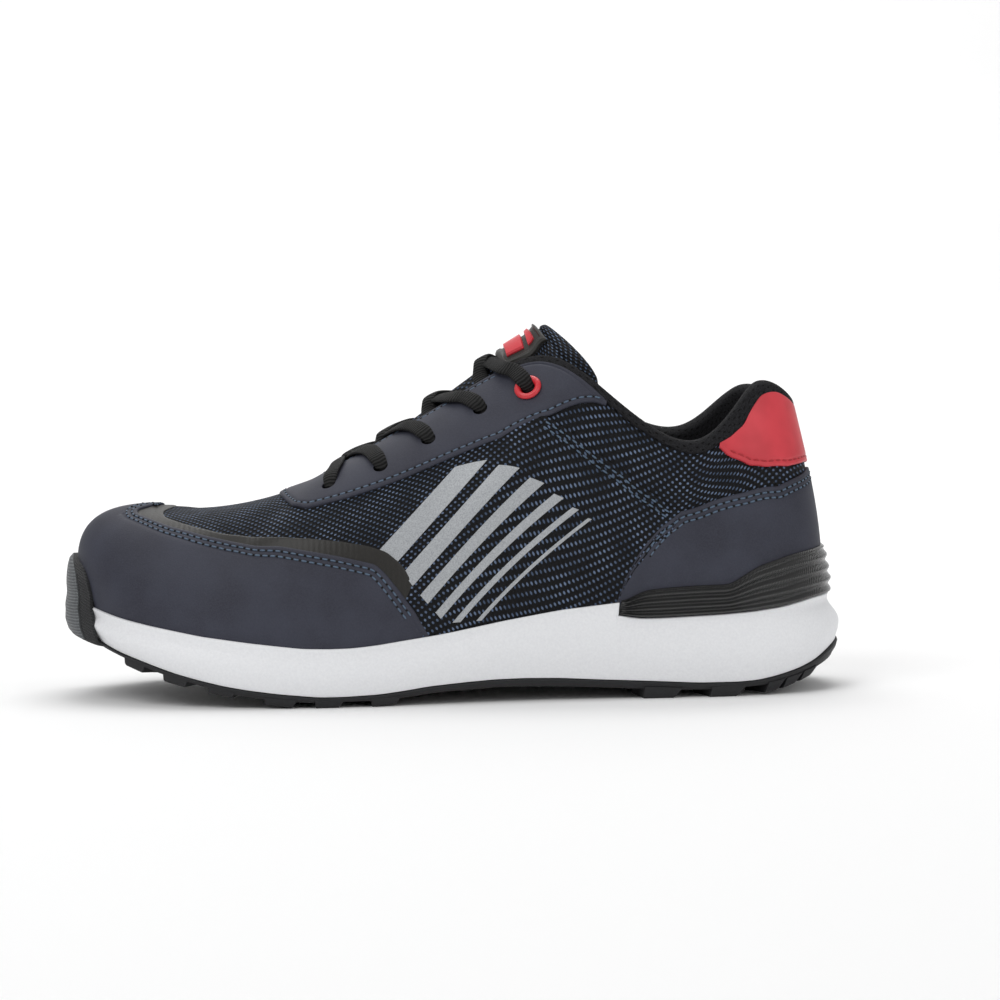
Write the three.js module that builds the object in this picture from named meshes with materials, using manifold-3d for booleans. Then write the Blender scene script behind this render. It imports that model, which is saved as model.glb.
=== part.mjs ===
// A left safety shoe, size EU 42: a low trainer with a rubber toe guard and flat laces.
// It stands on its sole. The toe points along -X, the outer side along -Y, and up is +Z.
// Every form follows one surface round the foot: stations go round the feather edge, where the upper
// meets the sole, from the heel's centre along the outer side to the toe and back along the inner
// side, and each station has one curve that climbs from the feather edge to the collar or throat.

import * as THREE from "three";
import Module from "manifold-3d";

const wasm = await Module();
wasm.setup();

// Driving dimensions, in millimetres
const SHOE_LENGTH = 300; // heel's back to the front of the toe guard
const BALL_WIDTH = 100; // feather edge at the ball of the foot
const HEEL_STACK = 27; // feather edge over the ground at the heel
const COLLAR_HEIGHT = 116.5; // collar's crest behind the ankle, over the ground
const INSTEP_HEIGHT = 127; // top corners of the eyestay, over the ground
const TOE_HEIGHT = 72; // upper over the toes, over the ground

// Walls and layers
const UPPER_WALL = 2.2;
const COLLAR_PADDING = 4.6; // added to the wall round the ankle
const CLEARANCE = 0.35; // between any two pieces that touch
const OVERLAY = 0.9; // thickness of a sewn-on panel
const CUP_LIP = 2.2; // midsole wall at its top edge
const HEEL_CUP_LIP = 3.6; // the same under the stabilizer
const FOOTBED_CUP = 1.2; // how far the footbed's middle lies below its edge
const INSOLE_THICKNESS = 4.5;
const INSOLE_FIT = 0.6; // all round, to the upper's inner face
const TONGUE_THICKNESS = 4.2;
const STABILIZER_THICKNESS = 2.6;
const STABILIZER_RIDGE = 0.7;
const OUTSOLE_PROUD = 0.5; // how far the outsole's side stands out from the midsole
const EYELET_RADIUS = 2.8;
const RING_RADIUS = 5.2;
const RING_HEIGHT = 2.0;
const LACE_WIDTH = 6.2;
const LACE_THICKNESS = 1.6;
const BADGE_THICKNESS = 1.8;
const BADGE_BAR_HEIGHT = 0.8;
const TONGUE_RISE = 15; // tongue over the eyestay's top corners

const STATIONS = 28;
const TOE = STATIONS / 2;

// The foot's form. Each row is one station: along (share of the length, from the heel), side (share of
// the ball width, outer side negative), feather (share of the heel stack), flare (share of the ball
// width), the height that governs the station, rise (share of it), then the top end of its curve:
// top along, top side, top height, reach and drop, in the same shares.
const OUTER_STATIONS = [
  [3.0, 0, 100, 5.0, COLLAR_HEIGHT, 24.0, 6.0, 0, 92.7, 5, 18.9],
  [4.8, -20.5, 100, 4.5, COLLAR_HEIGHT, 24.0, 7.0, -14.5, 95.7, 5, 18.9],
  [11.0, -32.5, 98, 4.0, COLLAR_HEIGHT, 24.0, 10.7, -24, 100, 5, 20.6],
  [18.7, -36, 94, 3.5, COLLAR_HEIGHT, 22.3, 14.7, -28.5, 89.3, 5, 17.2],
  [27.0, -37.5, 89, 3.5, COLLAR_HEIGHT, 21.5, 19.2, -31, 79.8, 5, 15.5],
  [35.3, -39.5, 81.5, 4.0, INSTEP_HEIGHT, 20.5, 25.0, -32.5, 78.7, 7, 15.7],
  [43.7, -42.5, 72, 4.5, INSTEP_HEIGHT, 22.0, 30.3, -30, 89, 11, 15.7],
  [52.0, -46.5, 63, 4.5, INSTEP_HEIGHT, 23.6, 36.2, -21.5, 100, 16, 14.2],
  [60.3, -50, 55.5, 4.0, INSTEP_HEIGHT, 23.6, 42.3, -12, 98, 20, 11.0],
  [68.7, -51.5, 53, 4.0, INSTEP_HEIGHT, 23.6, 50.7, -9.5, 86.6, 26, 7.9],
  [76.7, -49.5, 58, 4.0, INSTEP_HEIGHT, 24.4, 59.0, -7, 75.2, 30, 4.7],
  [84.0, -43.5, 76, 5.0, INSTEP_HEIGHT, 24.4, 67.0, 3.6, 64.6, 34, 2.4],
  [90.3, -33.5, 98, 7.5, TOE_HEIGHT, 46.0, 74.7, 4, 101.7, 36, 1.4],
  [95.0, -17, 118, 9.0, TOE_HEIGHT, 46.0, 80.7, 4.5, 98.9, 36.5, -1.4],
  [96.7, 4, 126, 9.5, TOE_HEIGHT, 46.5, 84.0, 4.5, 100.3, 35, -4.4],
];
const INNER_STATIONS = [
  [4.8, 20.5, 100, 4.5, COLLAR_HEIGHT, 24.0, 7.0, 14.5, 94.8, 5, 18.9],
  [11.0, 32, 98, 4.0, COLLAR_HEIGHT, 24.0, 10.7, 24, 98.3, 5, 20.6],
  [18.7, 34.5, 94, 3.5, COLLAR_HEIGHT, 23.2, 14.8, 28.5, 91.8, 5, 17.2],
  [27.0, 34, 90.5, 3.0, COLLAR_HEIGHT, 23.2, 19.5, 31, 83.3, 5, 15.5],
  [35.3, 33, 87, 2.5, INSTEP_HEIGHT, 22.0, 25.3, 32, 79.9, 7, 15.7],
  [43.7, 34, 79.5, 2.5, INSTEP_HEIGHT, 23.6, 30.7, 30, 89.4, 11, 15.7],
  [52.0, 38.5, 68.5, 3.0, INSTEP_HEIGHT, 25.2, 36.2, 23, 100, 16, 14.2],
  [60.3, 44, 57.5, 3.5, INSTEP_HEIGHT, 26.0, 42.3, 15, 98, 20, 11.0],
  [68.7, 48.5, 53, 4.0, INSTEP_HEIGHT, 26.0, 50.7, 13.5, 86.6, 25, 7.9],
  [76.7, 50, 58, 4.0, INSTEP_HEIGHT, 26.0, 59.0, 12.5, 75.2, 28, 4.7],
  [84.0, 48, 76, 5.0, INSTEP_HEIGHT, 25.2, 67.0, 3.6, 64.6, 32, 2.4],
  [90.3, 41.5, 98, 7.5, TOE_HEIGHT, 46.0, 74.7, 4, 101.7, 36, 1.4],
  [95.0, 26, 118, 9.0, TOE_HEIGHT, 46.0, 80.7, 4.5, 98.9, 36.5, -1.4],
];

// Side lines of the sole: share of the length from the heel, share of the heel stack
const CUP_EDGE = [
  [0, 152], [10, 144], [29.7, 134], [33.7, 129.5], [36.9, 126], [39.3, 122], [44.4, 112.6], [50.7, 99],
  [53.1, 94.5], [56.8, 88.8], [60, 83.5], [63, 80.3], [66, 79.8], [69.1, 80.9], [75.2, 88.6], [81.4, 98],
  [87.8, 112], [91, 120], [94.5, 131], [97, 141], [100, 150],
];
const MIDSOLE_BOTTOM = [
  [0, 70], [1.2, 66], [2.3, 59], [4.3, 45.3], [6.5, 35.8], [9.2, 27.9], [11.8, 22.4], [14.4, 20.6],
  [19.4, 20.7], [25.7, 24.7], [32, 28.3], [37, 31.8], [41.3, 33], [45, 32.5], [48.7, 30], [53.2, 26],
  [56.3, 21], [59.4, 17], [63.7, 15], [66.7, 15], [71.6, 20], [75.3, 25.3], [78.4, 31], [81.5, 38.8],
  [84.3, 46.7], [86.5, 54.5], [89.1, 64.4], [91.8, 74.3], [93.9, 84], [96.7, 100], [100, 112],
];
const OUTSOLE_BOTTOM = [
  [0, 50], [1, 46], [2.3, 41], [4.8, 31], [7.2, 22.7], [10.3, 15.5], [12.9, 13.4], [18.2, 11], [21.2, 11],
  [27, 14], [35.3, 19], [43.7, 22], [52, 17.5], [56.7, 11], [60.3, 8.5], [68.7, 8], [73.3, 12.6],
  [76.7, 18], [80.1, 27.5], [82.3, 34.4], [86, 45.6], [87.7, 52], [91, 66], [94.3, 80], [97, 92],
  [100, 102],
];
const TREAD = [
  [0, 46], [1.6, 38], [3.2, 30], [4, 26.5], [5.2, 21.5], [6.3, 17], [7.5, 12.5], [9.4, 6.5], [12.7, 1.2],
  [15, 0], [26.7, 0], [30.7, 4.5], [36.7, 12], [50, 14], [55, 6], [60, 0], [69.3, 0], [73.3, 6], [77, 14.5],
  [80, 21.3], [82.8, 27.4], [85.9, 36.1], [88.5, 46.2], [91.1, 56.7], [94, 70],
];
const STABILIZER_LOW = [
  [0, 137], [3.3, 136], [5.3, 134], [6.7, 130], [9, 124], [12.7, 119], [16.7, 116], [20.3, 114.5],
  [24, 113], [27, 113], [29.5, 117],
];
const STABILIZER_HIGH = [
  [0, 203], [3, 203], [5.7, 198], [7.8, 194], [12, 180], [13.9, 168], [15.6, 156], [20.3, 155], [24, 153],
  [27, 150], [29.5, 136],
];
// Plan offset of the midsole's side from the feather edge: station, at the bulge, at the bottom edge
const MIDSOLE_SIDE = [
  [0, 9.2, 7.8], [1, 8.4, 7.2], [2, 7.0, 6.0], [3, 6.2, 5.4], [4, 5.8, 5.2], [5, 5.2, 4.8], [6, 4.9, 4.6],
  [7, 4.8, 4.5], [8, 4.7, 4.3], [9, 4.6, 4.2], [10, 4.8, 4.2], [11, 5.0, 4.0], [12, 5.2, 3.8],
  [13, 4.4, 2.4], [14, 3.6, 1.2],
];

// Lines on the upper: station, then height up the station's curve as a share of it
const GUARD_TOP = [
  [7.1, 7], [7.25, 11], [7.52, 17.5], [7.88, 24], [8.25, 30], [8.5, 33.5], [8.72, 35], [9.15, 38],
  [9.65, 41], [10.15, 44], [10.55, 45], [11, 48], [11.45, 51.5], [11.8, 55], [12.12, 58], [12.57, 63.5],
  [12.9, 67], [13.05, 68], [13.32, 73], [13.5, 81], [13.75, 87], [14, 91],
];
const FILM_TOP = [
  [6.8, 9], [6.92, 12.5], [7.27, 19], [7.67, 25.5], [8.1, 32.5], [8.45, 37], [8.8, 40], [9.25, 43],
  [9.8, 46], [10.38, 48.5], [10.83, 50.5], [11.25, 53], [11.72, 58], [12.15, 63.5], [12.57, 69.5],
  [12.9, 77], [13.2, 86], [13.47, 92.5], [13.75, 94.5], [14, 95],
];
const EYESTAY_LOW = [
  [5.95, 95], [6.05, 93], [6.25, 90.5], [6.5, 85.5], [6.9, 76], [7.6, 66.5], [8.05, 64.5], [8.55, 63],
  [9.1, 61.5], [9.75, 60.5], [10.27, 60.5], [10.55, 64], [10.8, 70], [11.05, 77], [11.3, 86], [11.45, 97],
];
const COLLAR_BAND_LOW = [
  [0, 97.6], [1.55, 97.2], [2.1, 95.5], [2.42, 91.5], [2.62, 87.5], [3, 88.5], [3.42, 92.5], [3.9, 94.5],
  [4.5, 96.5], [5, 96.5], [5.4, 95.5], [6, 95.5], [6.33, 95.8], [7.1, 95.8], [7.4, 96.3], [7.78, 96.3],
  [8, 94.5],
];
const COUNTER_TOP = [
  [0, 67], [0.4, 67], [1.03, 61.5], [1.75, 55.5], [2.5, 56.5], [3.27, 60.5], [3.95, 61.5], [4.02, 59.5],
  [4.22, 54], [4.35, 45], [4.4, 34.5], [4.42, 18],
];
const PATCH_LOW = [
  [0, 69.5], [0.6, 69.3], [1.45, 64], [2, 63.8], [2.4, 67], [2.9, 76.5], [3.1, 81.5], [3.22, 85.5],
  [3.36, 90.5],
];
const EYELETS = [
  { station: 10.22, height: 71.5 }, { station: 9.5, height: 71.5 }, { station: 8.95, height: 76.5 },
  { station: 8.28, height: 80.5 }, { station: 7.5, height: 83.5 },
];

// Tread blocks at the sole's edge, each from one share of the length to another
const EDGE_LUGS = [
  [4.2, 5.9], [6.3, 8.2], [8.6, 10.6], [13.7, 17.8], [21.8, 26.2], [56.8, 60.3], [63.8, 67.2],
  [69.6, 73.4], [77.2, 80.4], [83, 86], [88.4, 91],
];
const CENTRE_LUGS = [
  [12.9, 16.2], [17.4, 20.7], [21.9, 25.8], [57.5, 61], [62.2, 65.7], [66.9, 69.3], [71.6, 75], [76.2, 79.6],
];

// Short helpers
const mix = (a, b, t) => a + (b - a) * t;
const clamp = (x, low, high) => Math.min(Math.max(x, low), high);
const fade = (x, from, to) => {
  const t = clamp((x - from) / (to - from), 0, 1);
  return t * t * (3 - 2 * t);
};
const polyline = (points, x, column = 1) => {
  if (x <= points[0][0]) return points[0][column];
  for (let i = 1; i < points.length; i += 1) {
    const [from, to] = [points[i - 1], points[i]];
    if (x <= to[0]) return mix(from[column], to[column], (x - from[0]) / (to[0] - from[0]));
  }
  return points[points.length - 1][column];
};
// Distance from the heel's centre station, the same on both sides of the foot
const fromHeel = (station) => {
  const turn = ((station % STATIONS) + STATIONS) % STATIONS;
  return Math.min(turn, STATIONS - turn);
};
const onShare = (points, along) => (HEEL_STACK * polyline(points, (100 * along) / SHOE_LENGTH)) / 100;
const cupEdge = (along) => onShare(CUP_EDGE, along);
const midsoleBottom = (along) => onShare(MIDSOLE_BOTTOM, along);
const outsoleBottom = (along) => onShare(OUTSOLE_BOTTOM, along);
const tread = (along) => onShare(TREAD, along);
const onCurve = (points, station) => polyline(points, fromHeel(station)) / 100;

// The station table in millimetres, as control points of a closed cubic B-spline that follows its rows
const stationRows = [...OUTER_STATIONS, ...INNER_STATIONS.slice().reverse()].map((row) => {
  const [along, side, feather, flare, height, rise, topAlong, topSide, top, reach, drop] = row;
  return [
    (along * SHOE_LENGTH) / 100,
    (side * BALL_WIDTH) / 100,
    (feather * HEEL_STACK) / 100,
    (flare * BALL_WIDTH) / 100,
    (rise * height) / 100,
    (topAlong * SHOE_LENGTH) / 100,
    (topSide * BALL_WIDTH) / 100,
    (top * height) / 100,
    (reach * BALL_WIDTH) / 100,
    (drop * height) / 100,
  ];
});
const controls = stationRows.map((row, i) => {
  const before = stationRows[(i + STATIONS - 1) % STATIONS];
  const after = stationRows[(i + 1) % STATIONS];
  return row.map((value, k) => (8 * value - before[k] - after[k]) / 6);
});
const splineAt = (station) => {
  const turn = ((station % STATIONS) + STATIONS) % STATIONS;
  const i = Math.floor(turn);
  const f = turn - i;
  const weights = [
    (1 - f) ** 3 / 6,
    (3 * f ** 3 - 6 * f * f + 4) / 6,
    (-3 * f ** 3 + 3 * f * f + 3 * f + 1) / 6,
    f ** 3 / 6,
  ];
  return controls[0].map((_, k) =>
    weights.reduce((sum, w, j) => sum + w * controls[(i + j + STATIONS - 1) % STATIONS][k], 0),
  );
};
const outwardAt = (station) => {
  const step = 1e-3;
  const ahead = splineAt(station + step);
  const behind = splineAt(station - step);
  const [along, side] = [ahead[0] - behind[0], ahead[1] - behind[1]];
  const length = Math.hypot(along, side);
  return [side / length, -along / length];
};

// Over the vamp the two sides' curves end on one ridge line; behind it they part round the throat
const RIDGE_STATIONS = 3;
const ridgeShare = (station) =>
  1 - fade(Math.abs(fromHeel(station) - TOE), RIDGE_STATIONS, RIDGE_STATIONS + 0.6);
const topAt = (station) => {
  const own = splineAt(station);
  const other = splineAt(STATIONS - station);
  const share = ridgeShare(station) / 2;
  return [5, 6, 7].map((k) => mix(own[k], other[k], share));
};
// Point on the upper's outer surface, as along, side and height
const surfaceAt = (station, t) => {
  const row = splineAt(station);
  const out = outwardAt(station);
  const top = topAt(station);
  const s = 1 - t;
  const weights = [s * s * s, 3 * s * s * t, 3 * s * t * t, t * t * t];
  const corners = [
    [row[0], row[1], row[2]],
    [row[0] + out[0] * row[3], row[1] + out[1] * row[3], row[2] + row[4]],
    [top[0] + out[0] * row[8], top[1] + out[1] * row[8], top[2] - row[9]],
    top,
  ];
  return [0, 1, 2].map((k) => corners.reduce((sum, corner, j) => sum + weights[j] * corner[k], 0));
};
const toVector = ([along, side, height]) => new THREE.Vector3(SHOE_LENGTH / 2 - along, side, height);
const surfacePoint = (station, t) => toVector(surfaceAt(station, t));
const plainNormal = (station, t) => {
  const step = 1e-3;
  const around = surfacePoint(station + step, t).sub(surfacePoint(station - step, t));
  const up = surfacePoint(station, Math.min(t + step, 1)).sub(surfacePoint(station, Math.max(t - step, 0)));
  return up.cross(around).normalize();
};
const surfaceNormal = (station, t) => {
  const own = plainNormal(station, t);
  if (t < 1) return own;
  return own.lerp(plainNormal(STATIONS - station, t), ridgeShare(station) / 2).normalize();
};
// On the ridge both sides share one point
const meeting = (station, t) => (t === 1 && ridgeShare(station) === 1 ? fromHeel(station) : station);
const offsetPoint = (station, t, distance) => {
  const at = meeting(station, t);
  return surfacePoint(at, t).addScaledVector(surfaceNormal(at, t), distance);
};
// The same, moved level with the ground, so that the height stays
const levelOffset = (station, t, distance) => {
  const normal = surfaceNormal(station, t);
  const level = Math.hypot(normal.x, normal.y);
  const reach = distance / (level * level);
  return surfacePoint(station, t).add(new THREE.Vector3(normal.x * reach, normal.y * reach, 0));
};
// Share of the station's curve at which the surface reaches a height
const shareAtHeight = (station, height) => {
  let [low, high] = [0, 0.8];
  for (let i = 0; i < 24; i += 1) {
    const middle = (low + high) / 2;
    if (surfaceAt(station, middle)[2] < height) low = middle;
    else high = middle;
  }
  return low;
};
// Point beside the feather edge in plan, at a height
const besideFeather = (station, out, height) => {
  const row = splineAt(station);
  const normal = outwardAt(station);
  return toVector([row[0] + normal[0] * out, row[1] + normal[1] * out, height]);
};
const alongOf = (point) => SHOE_LENGTH / 2 - point.x;
// Line down the middle of the sole, drawn in a little at the heel and the toe
const SPINE_SHARE = 0.86;
const spineAt = (station) => {
  const [own, other] = [splineAt(station), splineAt(STATIONS - station)];
  const middle = SHOE_LENGTH / 2;
  return [
    middle + ((own[0] + other[0]) / 2 - middle) * SPINE_SHARE,
    (own[1] + other[1]) / 2,
    (own[2] + other[2]) / 2,
  ];
};

// The stabilizer ends at one station on each side; the midsole's edge steps up there
const STABILIZER_FRONT = 4.26;
const EDGE_STEP = 0.04;
const columnRuns = [
  { from: 0, to: 3, steps: 6 },
  { from: 3, to: 7, steps: 5 },
  { from: 7, to: 11, steps: 7 },
  { from: 11, to: 12, steps: 3 },
  { from: 12, to: TOE, steps: 6 },
];
const halfColumns = columnRuns.flatMap(({ from, to, steps }) =>
  Array.from({ length: steps }, (_, i) => mix(from, to, i / steps)),
);
const GUARD_HALF = 1.2; // stations from the toe's centre to the side of the toe guard
const edgeStations = [STABILIZER_FRONT, TOE - GUARD_HALF];
halfColumns.push(...edgeStations.flatMap((station) => [station - EDGE_STEP, station + EDGE_STEP]));
halfColumns.sort((a, b) => a - b);
const columns = [
  ...halfColumns,
  TOE,
  ...halfColumns.slice(1).reverse().map((station) => STATIONS - station),
];

// Closed bodies
const keyOf = (point) => [point.x, point.y, point.z].map((value) => Math.round(value * 5000)).join();
class Body {
  constructor() {
    this.points = [];
    this.ids = new Map();
    this.faces = [];
  }

  vertex(point) {
    const key = keyOf(point);
    if (!this.ids.has(key)) {
      this.ids.set(key, this.points.length);
      this.points.push(point);
    }
    return this.ids.get(key);
  }

  triangle(a, b, c) {
    if (a !== b && b !== c && c !== a) this.faces.push([a, b, c]);
  }

  quad(a, b, c, d) {
    const [p, q, r, s] = [a, b, c, d].map((id) => this.points[id]);
    const difference = p.distanceTo(r) - q.distanceTo(s);
    const even = Math.abs(difference) < 1e-3;
    if (even ? Math.min(a, c) < Math.min(b, d) : difference < 0) {
      this.triangle(a, b, c);
      this.triangle(a, c, d);
    } else {
      this.triangle(a, b, d);
      this.triangle(b, c, d);
    }
  }

  // Two equal faces that look at each other close a seam and both go
  dropSeams() {
    const seen = new Map();
    this.faces.forEach((face, i) => {
      const key = face.slice().sort((a, b) => a - b).join();
      if (!seen.has(key)) seen.set(key, []);
      seen.get(key).push(i);
    });
    const dropped = new Set([...seen.values()].filter((list) => list.length === 2).flat());
    this.faces = this.faces.filter((_, i) => !dropped.has(i));
  }

  solid() {
    this.dropSeams();
    const volume = this.faces.reduce((sum, [a, b, c]) => {
      const cross = new THREE.Vector3().crossVectors(this.points[b], this.points[c]);
      return sum + this.points[a].dot(cross);
    }, 0);
    const faces = volume > 0 ? this.faces : this.faces.map(([a, b, c]) => [a, c, b]);
    return new wasm.Manifold(new wasm.Mesh({
      numProp: 3,
      vertProperties: new Float32Array(this.points.flatMap((p) => [p.x, p.y, p.z])),
      triVerts: new Uint32Array(faces.flat()),
    }));
  }
}

// Rings of equally many points, joined one to the next; a ring that runs to and fro closes the form
const ringBody = (rings) => {
  const body = new Body();
  const ids = rings.map((ring) => ring.map((point) => body.vertex(point)));
  for (let i = 0; i + 1 < rings.length; i += 1) {
    ids[i].forEach((id, j) => {
      const next = (j + 1) % ids[i].length;
      body.quad(id, ids[i][next], ids[i + 1][next], ids[i + 1][j]);
    });
  }
  return body;
};
const ring = (pointOf) => columns.map(pointOf);

// A slab between two offsets of a surface. Each grid is rows of [station, share] pairs.
const slabSolid = (grids, innerOf, outerOf) => {
  const body = new Body();
  const inner = new Map();
  grids.forEach((grid) => {
    const ids = grid.map((row) => row.map(([station, share]) => {
      const id = body.vertex(outerOf(station, share));
      if (!inner.has(id)) inner.set(id, innerOf(station, share));
      return id;
    }));
    for (let i = 0; i + 1 < ids.length; i += 1) {
      for (let j = 0; j + 1 < ids[i].length; j += 1) {
        body.quad(ids[i][j], ids[i][j + 1], ids[i + 1][j + 1], ids[i + 1][j]);
      }
    }
  });
  const outerFaces = [...body.faces];
  const below = new Map([...inner].map(([id, point]) => [id, body.vertex(point)]));
  const edges = new Set(outerFaces.flatMap(([a, b, c]) => [`${a},${b}`, `${b},${c}`, `${c},${a}`]));
  outerFaces.forEach((face) => {
    body.triangle(...face.slice().reverse().map((id) => below.get(id)));
    face.forEach((a, k) => {
      const b = face[(k + 1) % 3];
      if (!edges.has(`${b},${a}`)) body.quad(b, a, below.get(a), below.get(b));
    });
  });
  return body.solid();
};

// Levels of the upper's outer face up each station's curve; whatever lies on it bends at the same levels
const OUTER_LEVELS = [0, 0.1, 0.22, 0.36, 0.5, 0.64, 0.75, 0.84, 0.92, 1];
// Grid of [station, share] between two lines, on the shoe's own columns and levels
const gridBetween = (from, to, lowOf, highOf) => {
  const turned = from < 0 ? columns.map((station) => station - STATIONS) : [];
  const inside = [...turned, ...columns].filter((station) => station > from + 0.05 && station < to - 0.05);
  return [from, ...inside, to].map((station) => {
    const low = lowOf(station);
    const high = Math.max(low + 0.004, highOf(station));
    const levels = OUTER_LEVELS.slice(1, -1).map((level) => clamp(level, low, high));
    return [low, ...levels, high].map((level) => [station, level]);
  });
};

// Outer face of a sewn-on panel, from the upper's surface
const PANEL_TOP = CLEARANCE + OVERLAY;

// Lower edge of every sewn-on panel: just over the midsole's top edge
const underStabilizer = (station) => fromHeel(station) < STABILIZER_FRONT;
const cupTop = (station) => {
  const along = splineAt(station)[0];
  return underStabilizer(station) ? onShare(STABILIZER_LOW, along) - CLEARANCE : cupEdge(along);
};
const panelFoot = (station) => shareAtHeight(station, cupTop(station) + CLEARANCE);

// Upper: outer levels up to the rim, then the inner face down to the feather edge
const INNER_LEVELS = [1, 0.84, 0.75, 0.6, 0.38, 0.12, 0];
const wallAt = (station, t) => {
  const roundAnkle = 1 - fade(fromHeel(station), 5.2, 6.8);
  return UPPER_WALL + COLLAR_PADDING * roundAnkle * fade(t, 0.6, 0.8);
};
const innerPoint = (station, t) => offsetPoint(station, t, -wallAt(fromHeel(station), t));
const RIM_ROUND = 0.5; // height of the rim's rounding as a share of half the wall
const rimPoint = (station) => {
  const half = wallAt(station, 1) / 2;
  const up = surfacePoint(station, 1).sub(surfacePoint(station, 0.97)).normalize();
  return offsetPoint(station, 1, -half).addScaledVector(up, half * RIM_ROUND * (1 - ridgeShare(station)));
};
const eyeletCutter = ({ station, height }, side) => {
  const at = side < 0 ? station : STATIONS - station;
  const normal = surfaceNormal(at, height / 100);
  const geometry = new THREE.CylinderGeometry(EYELET_RADIUS, EYELET_RADIUS, 6 * UPPER_WALL, 8);
  geometry.applyQuaternion(new THREE.Quaternion().setFromUnitVectors(new THREE.Vector3(0, 1, 0), normal));
  geometry.translate(...surfacePoint(at, height / 100).toArray());
  return geometrySolid(geometry);
};
const geometrySolid = (geometry) => {
  const body = new Body();
  const place = geometry.getAttribute("position");
  const ids = Array.from({ length: place.count }, (_, i) =>
    body.vertex(new THREE.Vector3().fromBufferAttribute(place, i)));
  const index = geometry.index ? Array.from(geometry.index.array) : ids.map((_, i) => i);
  for (let i = 0; i < index.length; i += 3) {
    body.triangle(ids[index[i]], ids[index[i + 1]], ids[index[i + 2]]);
  }
  return body.solid();
};
const cutEyelets = (solid) =>
  EYELETS.flatMap((eyelet) => [-1, 1].map((side) => eyeletCutter(eyelet, side)))
    .reduce((rest, cutter) => rest.subtract(cutter), solid);
const upperSolid = () => {
  const outer = OUTER_LEVELS.map((t) => ring((station) => offsetPoint(station, t, 0)));
  const inner = INNER_LEVELS.map((t) => ring((station) => innerPoint(station, t)));
  const rings = [...outer, ring(rimPoint), ...inner, outer[0]];
  return cutEyelets(ringBody(rings).solid());
};

// Sole
const floorPoint = (station, share, lift) => {
  const edge = offsetPoint(station, 0, CLEARANCE);
  edge.z = splineAt(station)[2] - CLEARANCE;
  const spine = toVector(spineAt(station));
  spine.z -= CLEARANCE + FOOTBED_CUP;
  return edge.lerp(spine, share).add(new THREE.Vector3(0, 0, lift));
};
const sideAt = (station, column) => (BALL_WIDTH * polyline(MIDSOLE_SIDE, fromHeel(station), column)) / 100;
const bottomEdge = (station) => {
  const point = besideFeather(station, sideAt(station, 2), 0);
  point.z = midsoleBottom(alongOf(point));
  return point;
};
const bottomPoint = (station, share) => {
  const spine = toVector(spineAt(station));
  const point = bottomEdge(station).lerp(spine, share);
  point.z = midsoleBottom(alongOf(point));
  return point;
};
const lipAt = (station) => (underStabilizer(station) ? HEEL_CUP_LIP : CUP_LIP);
const lipPoint = (station, drop) => {
  const share = shareAtHeight(station, cupTop(station) - drop);
  return levelOffset(station, share, CLEARANCE + lipAt(station));
};
const LIP_SHOULDER = 3.5; // below the midsole's top edge
const BULGE_SHARE = 0.42; // height of the midsole's widest line between its edges
const bulgePoint = (station) => {
  const low = bottomEdge(station).z;
  return besideFeather(station, sideAt(station, 1), mix(low, cupTop(station), BULGE_SHARE));
};
const midsoleSolid = () => {
  const wallTop = (station) => shareAtHeight(station, cupTop(station));
  const cupPoint = (station, share) => offsetPoint(station, wallTop(station) * share, CLEARANCE);
  return ringBody([
    ring((station) => bottomPoint(station, 1)),
    ring((station) => bottomPoint(station, 0.5)),
    ring(bottomEdge),
    ring(bulgePoint),
    ring((station) => lipPoint(station, LIP_SHOULDER)),
    ring((station) => lipPoint(station, 0)),
    ring((station) => cupPoint(station, 1)),
    ring((station) => cupPoint(station, 0.5)),
    ring((station) => floorPoint(station, 0, 0)),
    ring((station) => floorPoint(station, 1, 0)),
  ]).solid();
};

const insoleSolid = () => {
  const edgePoint = (station, height) => {
    const feather = splineAt(station)[2];
    return levelOffset(station, shareAtHeight(station, feather + height), -(UPPER_WALL + INSOLE_FIT));
  };
  const across = (station, share, height) => {
    const spine = toVector(spineAt(station));
    spine.z += height - FOOTBED_CUP;
    return edgePoint(station, height).lerp(spine, share);
  };
  return ringBody([
    ring((station) => across(station, 1, 0)),
    ring((station) => across(station, 0, 0)),
    ring((station) => across(station, 0, INSOLE_THICKNESS)),
    ring((station) => across(station, 1, INSOLE_THICKNESS)),
  ]).solid();
};

const BEVEL = 0.45; // how far the side's lower edge draws in for each millimetre of its height
// Toe guard: the outsole's rubber climbs the toe in an arch
const GUARD_FOOT = 3.8; // how far the guard's foot stands out from the midsole's bulge
const GUARD_HEIGHT = 0.76; // its top as a share of the toe height
// Share of the way from the midsole's top edge to the guard's top, 0 outside the guard
const guardShare = (station) => Math.max(0, 1 - ((TOE - fromHeel(station)) / GUARD_HALF) ** 2);
const GUARD_SWELL = [[0, 4.0], [0.3, 5.8], [0.6, 4.6], [0.85, 2.8], [1, 1.0]]; // thickness up the guard
const guardThickness = (station, level) => {
  const share = Math.sqrt(guardShare(station));
  return mix(OUTSOLE_PROUD, polyline(GUARD_SWELL, level), share);
};
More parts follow.
